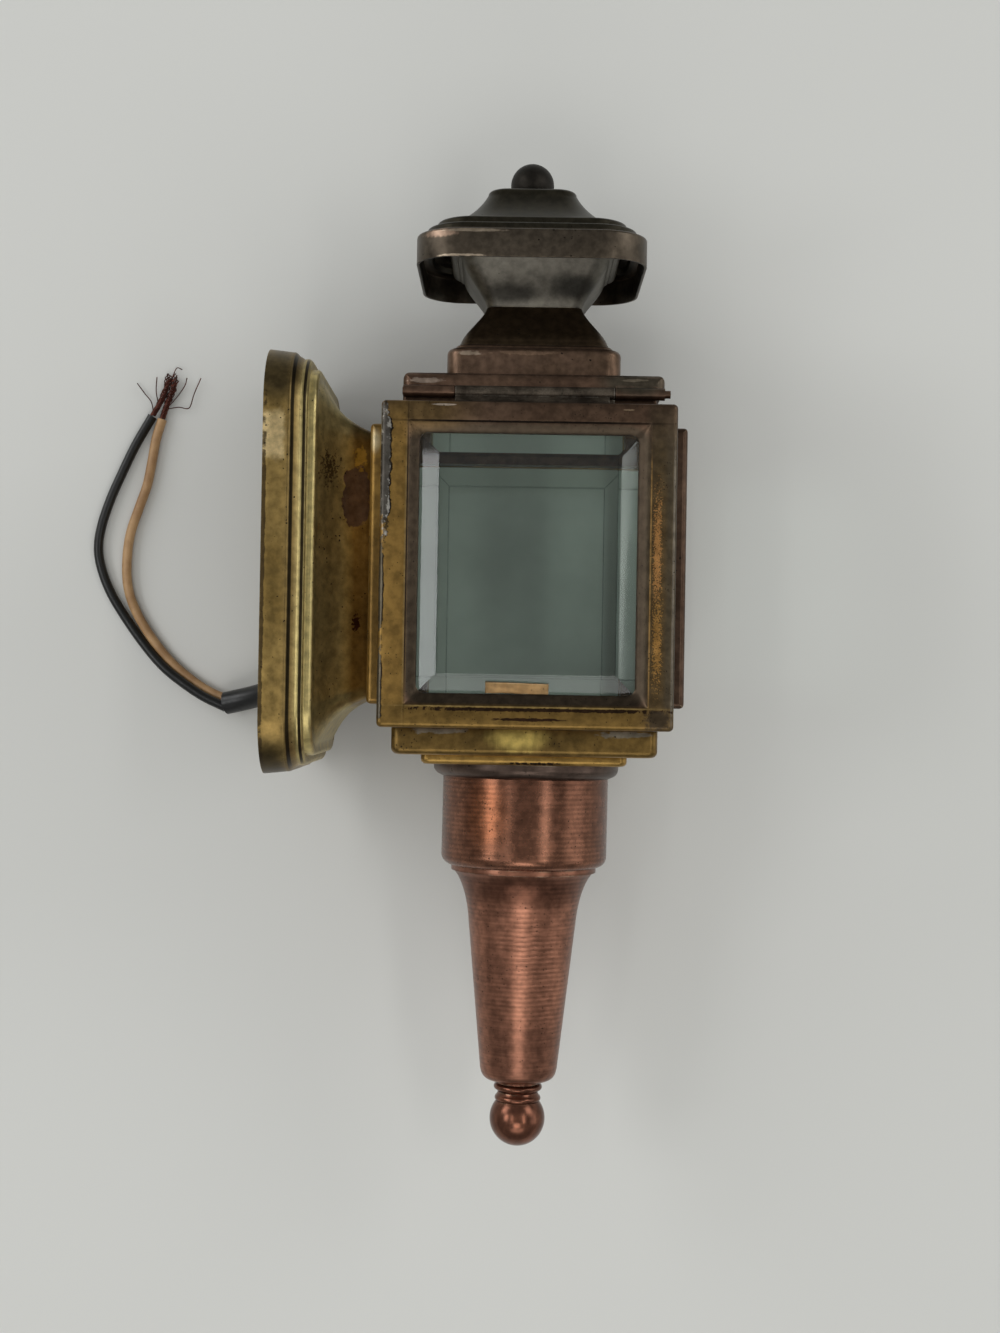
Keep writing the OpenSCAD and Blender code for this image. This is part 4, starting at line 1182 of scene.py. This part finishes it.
@dataclass
class BodyBox:
    """The case, its frames, panes, tray and lampholder."""

    tray_half: float = 40.4
    tray_top: float = -49.2
    tray_h: float = 8.1
    step_half: float = 31.7
    step_h: float = 3.1
    hole_r: float = 22.5
    clip_x: tuple[float, float] = (-12.0, 6.9)
    clip_z: tuple[float, float] = (-38.5, -35.0)
    clip_y: float = -46.1
    clip_lean: float = 22.0
    clip_turn: float = 1.2
    clip_thick: float = 0.5
    clip_crease: float = 0.12
    finish_of: dict[str, str] = field(default_factory=lambda: {
        "body_case": "case_bronze", "outer_frame": "outer_bronze", "glass_beds": "case_bronze",
        "stem_tube": "plated_steel", "stem_nuts": "plain_brass",
        "lampholder_shell": "black_plastic", "lampholder_base": "black_plastic",
        "porcelain_core": "porcelain", "screw_shell": "plain_brass",
        "centre_contact": "plain_brass", "inner_leads": "black_insulation",
        "hinge_leaf": "soldered_bronze", "hinge_pin": "lid_bronze",
        "front_glass": "bevelled_glass", "rear_glass": "bevelled_glass",
        "outer_glass": "pane_glass"})

    def build(self, finishes: dict[str, bpy.types.Material]) -> None:
        """Draws two window frames, the tray, the step plate and the clip, and dresses the rest."""
        body = Matrix.Translation(on_axis(0, 0, 0))
        front = WindowFrame("front_window_frame").build(body)
        finish_piece(front, Body.LANTERN, finishes["front_brass"], ("front_frame",))
        rear = WindowFrame("rear_window_frame").build(body @ Matrix.Rotation(math.pi, 4, "Z"))
        finish_piece(rear, Body.LANTERN, finishes["rear_brass"], ("rear_frame",))
        self._tray(finishes["tray_brass"])
        self._clip(finishes["tan_brass"])
        for node, finish in self.finish_of.items():
            dress(node, finishes[finish])
            LOG.info("dressed %s in %s", node, finish)

    def _tray(self, material: bpy.types.Material) -> None:
        """Draws the tray and the step plate as pressed dishes with a round hole each."""
        for name, node, half, top, height, edge, corner in (
                ("bottom_tray_pressed", "bottom_tray", self.tray_half, self.tray_top, self.tray_h,
                 1.9, 2.6),
                ("step_plate_pressed", "step_plate", self.step_half, self.tray_top - self.tray_h,
                 self.step_h, 1.5, 2.4)):
            line = [(half, 0.0), (half, height * 0.3),
                    *arc((half - edge, height - edge), edge, 0, 90, 6),
                    (half - edge - 0.4, height), (self.hole_r + 0.4, height),
                    (self.hole_r, height)]
            dish = Pressing(name, line, corner, 0.0, wall=1.2, edge_width=0.12)
            place = Matrix.Translation(on_axis(0, 0, top)) @ Matrix.Rotation(math.pi, 4, "X")
            finish_piece(dish.build(place), Body.LANTERN, material, (node,))

    def _clip(self, material: bpy.types.Material) -> None:
        """Adds the tan strip that leans on the foot of the front pane, a little creased."""
        deselect()
        (x0, x1), (z0, z1) = self.clip_x, self.clip_z
        bpy.ops.mesh.primitive_cube_add(size=1)
        strip = bpy.context.object
        strip.scale = ((x1 - x0) * MM, self.clip_thick * MM, (z1 - z0) * MM)
        bpy.ops.object.transform_apply(scale=True)
        bpy.ops.object.mode_set(mode="EDIT")
        bpy.ops.mesh.select_all(action="SELECT")
        bpy.ops.mesh.subdivide(number_cuts=6)
        bpy.ops.transform.vertex_random(offset=self.clip_crease * MM, seed=5)
        bpy.ops.object.mode_set(mode="OBJECT")
        edge = strip.modifiers.new("edge", "BEVEL")
        edge.width = 0.1 * MM
        edge.segments = 2
        bpy.ops.object.modifier_apply(modifier=edge.name)
        middle = on_axis((x0 + x1) / 2, self.clip_y, (z0 + z1) / 2)
        strip.matrix_world = (Matrix.Translation(middle)
                              @ Matrix.Rotation(math.radians(self.clip_lean), 4, "X")
                              @ Matrix.Rotation(math.radians(self.clip_turn), 4, "Y"))
        settle(strip, "glass_clip_strip")
        finish_piece(strip, Body.LANTERN, material, ("glass_clip",), 30)


def face_patch(x: float, z: float, half_x: float, half_z: float, colour: Rgb, **more: float
               ) -> Patch:
    """Returns a patch on the front face of the front frame."""
    return Patch((x, -48, z), (half_x, 2.6, half_z), colour, **more)


def front_patches(gold: Rgb, silver: Rgb) -> tuple[Patch, ...]:
    """Returns the gold borders, the bright lines, the painted shade lines at the band's top and left, the
    worn silver edge and the scratches. The bright lines are worn arrises, and the one on the right outer
    edge is a painted highlight.

    Args:
        gold: The colour of the bare gold brass.
        silver: The colour of the worn edge.

    Returns:
        The patches, from the lowest layer up.
    """
    dark, olive = srgb(30, 24, 18), srgb(82, 72, 56)
    soft = {"ragged": 0.03, "grain": 60.0}
    line = {"ragged": 0.16, "grain": 500.0, "power": 8.0, "softness": 0.5}
    worn = {"grain": 380.0, "power": 3.0}
    flecks = {"ragged": 0.75, "grain": 2000.0, "power": 4.0, "cover": 0.36}
    worn_grey = srgb(96, 88, 74)
    low_gold = srgb(124, 98, 52)
    return (
        face_patch(0, 0, 36.6, 42.6, srgb(66, 57, 46), softness=0.05, power=14.0, ragged=0.0,
                   grain=60.0, strength=0.92),
        face_patch(41, -4, 5.2, 50, olive, softness=0.7, power=6.0, **soft),
        face_patch(-34, 46, 14, 6, srgb(112, 90, 58), softness=1.3, **soft),
        face_patch(-40.5, -9, 4.2, 54, gold, softness=0.3, power=8.0, **soft),
        face_patch(-5, -46.0, 46, 3.9, low_gold, softness=0.5, power=6.0, **soft),
        face_patch(38.9, -12, 2.3, 44, srgb(104, 84, 54), softness=0.9, strength=0.8, ragged=0.2,
                   grain=300.0, power=4.0),
        face_patch(38.7, 4, 2.6, 34, srgb(184, 134, 80), softness=0.2, **flecks),
        face_patch(39.0, -22, 2.6, 26, srgb(176, 132, 72), softness=0.2, **flecks),
        face_patch(-36.7, -3, 0.24, 39, srgb(150, 124, 76), **line),
        face_patch(0, -42.4, 37.5, 0.26, srgb(170, 142, 86), **line),
        face_patch(36.7, -6, 0.22, 36, srgb(168, 132, 80), **line),
        # Painted highlight: a pale line along the rounded right outer edge.
        face_patch(43.6, -6, 0.3, 40, srgb(112, 104, 92), **line),
        # Painted shade: dark lines along the top and left edges of the band, where its step is shaded.
        face_patch(0, 42.9, 36.5, 0.28, srgb(34, 26, 20), softness=0.8, power=8.0, **soft),
        face_patch(-36.25, 2, 0.22, 41, srgb(40, 30, 22), softness=0.8, power=8.0, **soft),
        face_patch(-42.9, 29.5, 1.9, 19.5, dark, ragged=0.5, softness=0.12, **worn),
        face_patch(-43.1, 29.5, 1.6, 19, silver, ragged=0.5, softness=0.2, **worn),
        face_patch(-43.0, 29.5, 1.5, 19, srgb(52, 46, 38), ragged=0.9, grain=560.0, softness=0.25,
                   strength=0.85),
        face_patch(-43.6, -8, 0.8, 13, dark, ragged=0.5, softness=0.3, **worn),
        face_patch(-43.8, -8, 0.6, 12.6, worn_grey, ragged=0.5, softness=0.3, **worn),
        face_patch(-43.6, -36, 0.8, 10, dark, ragged=0.6, softness=0.3, **worn),
        face_patch(-43.8, -36, 0.6, 10, worn_grey, ragged=0.6, softness=0.3, **worn),
        face_patch(-25.6, 47.7, 3.4, 0.3, srgb(205, 188, 170), ragged=0.5, grain=700.0,
                   stretch=(0.3, 1, 1)),
        face_patch(29.6, 46.9, 1.6, 0.28, srgb(160, 136, 110), ragged=0.4, grain=700.0),
        face_patch(0.5, -46.1, 10.5, 0.5, srgb(52, 34, 20), ragged=0.7, grain=700.0,
                   stretch=(0.5, 1, 1)),
        face_patch(6, -43.2, 34, 0.5, srgb(52, 36, 22), ragged=0.9, grain=900.0, softness=0.2,
                   power=6.0),
        face_patch(39.5, -45.5, 5, 3.6, srgb(66, 56, 44), ragged=0.6, grain=700.0, softness=0.5,
                   cover=0.8, strength=0.85),
    )


def scratch(centre: Vec, size: Vec, colour: Rgb, drawn: float, **more: float) -> Patch:
    """Returns a broken scratch along X.

    Args:
        centre: Its middle.
        size: Half of its width along each axis.
        colour: Its colour.
        drawn: How far its grain is drawn out along X; 1 is not at all, and less is more.
        **more: Other values of the patch.

    Returns:
        The patch.
    """
    usual = {"ragged": 0.6, "grain": 700.0, "softness": 0.3, "cover": 0.7}
    return Patch(centre, size, colour, stretch=(drawn, 1, 1), **(usual | more))


def plate_patches() -> tuple[Patch, ...]:
    """Returns the plate's shaded ends, the painted highlight on its ogee hollow, grooves, stains and
    spots, lowest first.
    """
    shaded = {"softness": 0.9, "ragged": 0.05}
    groove = {"softness": 0.5, "ragged": 0.03, "power": 8.0}
    groove_dark = srgb(44, 36, 20)
    return (
        Patch((-77, -46, 38), (3.6, 6, 7), srgb(226, 200, 146), grain=260.0, softness=0.5,
              power=4.0),
        Patch((-76, -40, 58), (7, 60, 9), srgb(92, 78, 50), **shaded),
        Patch((-78, -46, -66), (7, 60, 13), srgb(70, 58, 34), **shaded),
        Patch((-68.4, -45, 0), (4.6, 12, 80), srgb(116, 97, 60), softness=0.5, ragged=0.03,
              power=6.0, strength=0.7),
        # Painted highlight: the ogee hollow lightened for the light that it catches.
        Patch((-62, -30, 0), (7.4, 60, 70), srgb(208, 190, 130), softness=0.4, ragged=0.05,
              power=6.0, strength=0.9),
        Patch((-71.4, -45, 0), (0.5, 12, 80), groove_dark, **groove),
        Patch((-67.9, -44, 0), (0.45, 12, 80), groove_dark, **groove),
        Patch((-79.6, -47, -10), (0.8, 12, 52), srgb(60, 48, 32), ragged=0.6, grain=300.0,
              softness=0.3, power=4.0, strength=0.85),
        Patch((-53.2, -26, 22), (4.0, 12, 8.8), srgb(124, 104, 92), softness=0.06, power=4.0),
        Patch((-52.3, -26, 34), (2.4, 12, 4.6), srgb(206, 172, 84), ragged=0.8, grain=500.0,
              softness=0.2, cover=0.7),
        Patch((-52.8, -26, -17), (2.4, 12, 5), srgb(64, 34, 20), ragged=0.9, grain=1100.0,
              softness=0.15, cover=0.45),
        Patch((-62, -30, 30), (6, 14, 10), srgb(64, 44, 26), ragged=0.9, grain=900.0,
              softness=0.2, cover=0.35, strength=0.8),
    )


def lid_patches() -> tuple[Patch, ...]:
    """Returns the lid's pale scratches and its dark right corner, lowest first."""
    return (
        scratch((-31.5, -39, 56.3), (7, 8, 1.2), srgb(176, 156, 140), 0.35),
        Patch((32, -39, 57), (10, 10, 5), srgb(86, 78, 66), softness=0.8, ragged=0.1),
        scratch((32, -39, 57.2), (5, 8, 0.7), srgb(140, 128, 110), 0.35),
    )


def chimney_patches() -> tuple[Patch, ...]:
    """Returns the painted shade on the chimney foot's upward-facing ogee and the scratches under it,
    lowest first.
    """
    return (
        # Painted shade: the foot's upward-facing ogee darkened all round.
        Patch((0, -24, 78), (60, 60, 8.0), srgb(72, 58, 42), softness=0.12, ragged=0.02,
              power=8.0),
        scratch((-19, -27, 67), (5, 6, 1.0), srgb(176, 156, 136), 0.4),
        scratch((-2, -27, 67.4), (12, 6, 0.9), srgb(150, 122, 100), 0.4, grain=900.0),
    )


def canopy_patches() -> tuple[Patch, ...]:
    """Returns the canopy's rubs, painted shade on its top, a rim scratch and painted shade on its inside,
    lowest first.
    """
    pale = srgb(176, 160, 140)
    return (
        Patch((-29, -36, 102.6), (6, 6, 1.3), srgb(168, 142, 122), ragged=0.5, grain=500.0,
              softness=0.6),
        Patch((-18, -36, 103.2), (9, 6, 0.5), pale, ragged=0.4, grain=700.0, softness=0.6),
        # Painted shade: the canopy's upward-facing top darkened.
        Patch((0, 0, 116), (60, 60, 11.2), srgb(56, 52, 42), softness=0.08, ragged=0.01,
              power=8.0),
        scratch((-22, -36, 95.5), (12, 6, 0.5), pale, 0.5, ragged=0.7),
        # Painted shade: the canopy's inside darkened under its cover.
        Patch((0, 0, 88.8), (35.5, 35.5, 19), srgb(44, 42, 36), softness=0.015, ragged=0.0,
              power=5.7, strength=0.9),
    )


def tin_patches() -> tuple[Patch, ...]:
    """Returns the two dark painted reflections of the chimney foot on the grey flare."""
    painted_reflection = {"softness": 1.0, "grain": 90.0, "strength": 0.8}
    # Painted reflection: dark patches where the flare mirrors the chimney foot below it.
    return (Patch((-6, -17, 88), (8, 8, 2.6), srgb(48, 46, 42), **painted_reflection),
            Patch((14, -18, 90), (7, 8, 3.2), srgb(40, 39, 36), **painted_reflection))


def tray_patches() -> tuple[Patch, ...]:
    """Returns the tray's bright spot, grey solder, pale step and dark crumbs, lowest first."""
    solder = {"ragged": 0.7, "grain": 600.0, "softness": 0.4, "cover": 0.75}
    return (
        Patch((-2, -40, -51.8), (7.5, 6, 3.4), srgb(206, 180, 100), grain=120.0, softness=1.2,
              stretch=(3, 1, 0.3)),
        scratch((-26, -40, -49.9), (10, 6, 1.1), srgb(132, 122, 106), 0.5, **solder),
        scratch((30, -40, -50.2), (9, 6, 1.3), srgb(136, 128, 112), 0.5, **solder),
        Patch((0, 0, -59.2), (60, 60, 2.2), srgb(158, 126, 68), softness=0.2, ragged=0.02,
              power=8.0),
        Patch((4, -31, -59.8), (14, 4, 0.6), srgb(40, 26, 18), ragged=0.9, grain=900.0,
              softness=0.15, cover=0.6),
    )


def metal_finishes() -> tuple[MetalFinish, ...]:
    """Returns the finishes of all the metal pieces."""
    gold, gold_dark = srgb(150, 118, 63), srgb(114, 88, 46)
    brown, brown_dark = srgb(100, 80, 66), srgb(78, 60, 48)
    gleam = Patch((-47, -44, 38), (2.2, 8, 4.5), srgb(225, 210, 170), softness=0.8, ragged=0.1)
    # Painted reflection: an orange patch on the cup's left where the side window is mirrored.
    cup_painted_reflection = Patch((-12, -24, -76), (6, 8, 11), srgb(160, 94, 56), ragged=0.15, softness=1.3,
                     grain=90.0, strength=0.45)
    cone_top = Patch((0, -20, -99.5), (40, 20, 4.6), srgb(112, 74, 58), ragged=0.1, softness=1.2,
                     grain=60.0, power=4.0)
    dense = {"specks": 0.5, "speck_scale": 1300.0}
    return (
        MetalFinish("plate_brass", srgb(172, 144, 86), srgb(130, 106, 58), specks=0.3,
                    wear_and_sheen_colour=srgb(190, 165, 110), patches=plate_patches()),
        MetalFinish("side_brass", gold, gold_dark, specks=0.3, patches=(gleam,)),
        MetalFinish("front_brass", srgb(114, 91, 74), srgb(88, 68, 54), wear_and_sheen=0.3,
                    wear_and_sheen_colour=srgb(150, 130, 104), wear_and_sheen_radius=0.4,
                    patches=front_patches(gold, srgb(176, 172, 164)), **dense),
        MetalFinish("rear_brass", gold, gold_dark, specks=0.4),
        MetalFinish("outer_bronze", brown, brown_dark, specks=0.3),
        MetalFinish("case_bronze", brown, brown_dark),
        MetalFinish("lid_bronze", srgb(124, 98, 80), srgb(98, 76, 62), specks=0.1, wear_and_sheen=0.35,
                    wear_and_sheen_colour=srgb(150, 124, 106), patches=lid_patches()),
        MetalFinish("chimney_bronze", srgb(126, 101, 84), srgb(98, 78, 62), specks=0.1, wear_and_sheen=0.3,
                    patches=chimney_patches()),
        MetalFinish("canopy_bronze", srgb(104, 94, 82), srgb(82, 73, 62), specks=0.15, wear_and_sheen=0.2,
                    patches=canopy_patches()),
        MetalFinish("dark_bronze", srgb(56, 52, 46), srgb(42, 39, 35), specks=0.05,
                    rough=(0.45, 0.6)),
        MetalFinish("dull_tin", srgb(128, 124, 114), srgb(96, 92, 84), rough=(0.42, 0.6),
                    specks=0.05, patches=tin_patches()),
        MetalFinish("soldered_bronze", srgb(110, 100, 88), srgb(58, 50, 42), rough=(0.42, 0.6),
                    cloud_scale=160.0, specks=0.2, wear_and_sheen=0.5, wear_and_sheen_colour=srgb(190, 184, 172)),
        MetalFinish("tray_brass", srgb(126, 100, 54), srgb(98, 78, 42), wear_and_sheen=0.25,
                    patches=tray_patches(), **dense),
        MetalFinish("tan_brass", srgb(150, 122, 84), srgb(120, 92, 58), specks=0.5),
        MetalFinish("plain_brass", srgb(190, 160, 96), srgb(160, 130, 76), specks=0.05),
        MetalFinish("plated_steel", srgb(160, 160, 158), srgb(120, 120, 120), specks=0.05),
        MetalFinish("collar_ring", srgb(112, 94, 84), srgb(84, 70, 62), lines=Lines.TURNED),
        MetalFinish("copper_cup", srgb(134, 92, 72), srgb(116, 78, 61), lines=Lines.RINGED,
                    rough=(0.22, 0.34), patches=(cup_painted_reflection,), **dense),
        MetalFinish("tail_cone", srgb(160, 110, 88), srgb(132, 90, 72), lines=Lines.RINGED,
                    specks=0.6, speck_scale=1300.0, rough=(0.28, 0.4), patches=(cone_top,)),
        MetalFinish("tail_finial", srgb(140, 92, 72), srgb(98, 64, 50), specks=0.1,
                    rough=(0.2, 0.32)),
        MetalFinish("bare_copper", srgb(118, 68, 56), srgb(58, 38, 34), specks=0.0, wear_and_sheen=0.0),
    )


def make_finishes() -> dict[str, bpy.types.Material]:
    """Builds every finish once.

    Returns:
        Finish name to material.
    """
    effects = SharedEffects()
    plains = (
        PlainFinish("black_insulation", srgb(12, 12, 12), srgb(18, 19, 18), 0.36),
        PlainFinish("tan_insulation", srgb(180, 144, 102), srgb(152, 116, 78), 0.5),
        PlainFinish("black_plastic", srgb(34, 34, 33), srgb(46, 45, 43), 0.5),
        PlainFinish("porcelain", srgb(225, 222, 212), srgb(210, 206, 194), 0.2),
    )
    half_x, half_z = BEVEL_HALF
    inner = (on_axis(-half_x, 0, -half_z), on_axis(half_x, 0, half_z))
    glasses = (GlassFinish(), GlassFinish("bevelled_glass", bevel_from=inner))
    made = {m.name: m.build(effects) for m in metal_finishes()}
    made.update({p.name: p.build() for p in (*plains, *glasses)})
    return made


def main() -> None:
    """Builds the scene: camera and leads first, then each sub-assembly."""
    logging.basicConfig(level=logging.INFO)
    finishes = make_finishes()
    PhotoCamera().build()
    Leads().build(finishes)
    Studio().build()
    WallPlate().build(finishes)
    Chimney().build(finishes)
    Tail().build(finishes)
    BodyBox().build(finishes)


if __name__ == "__main__":
    main()
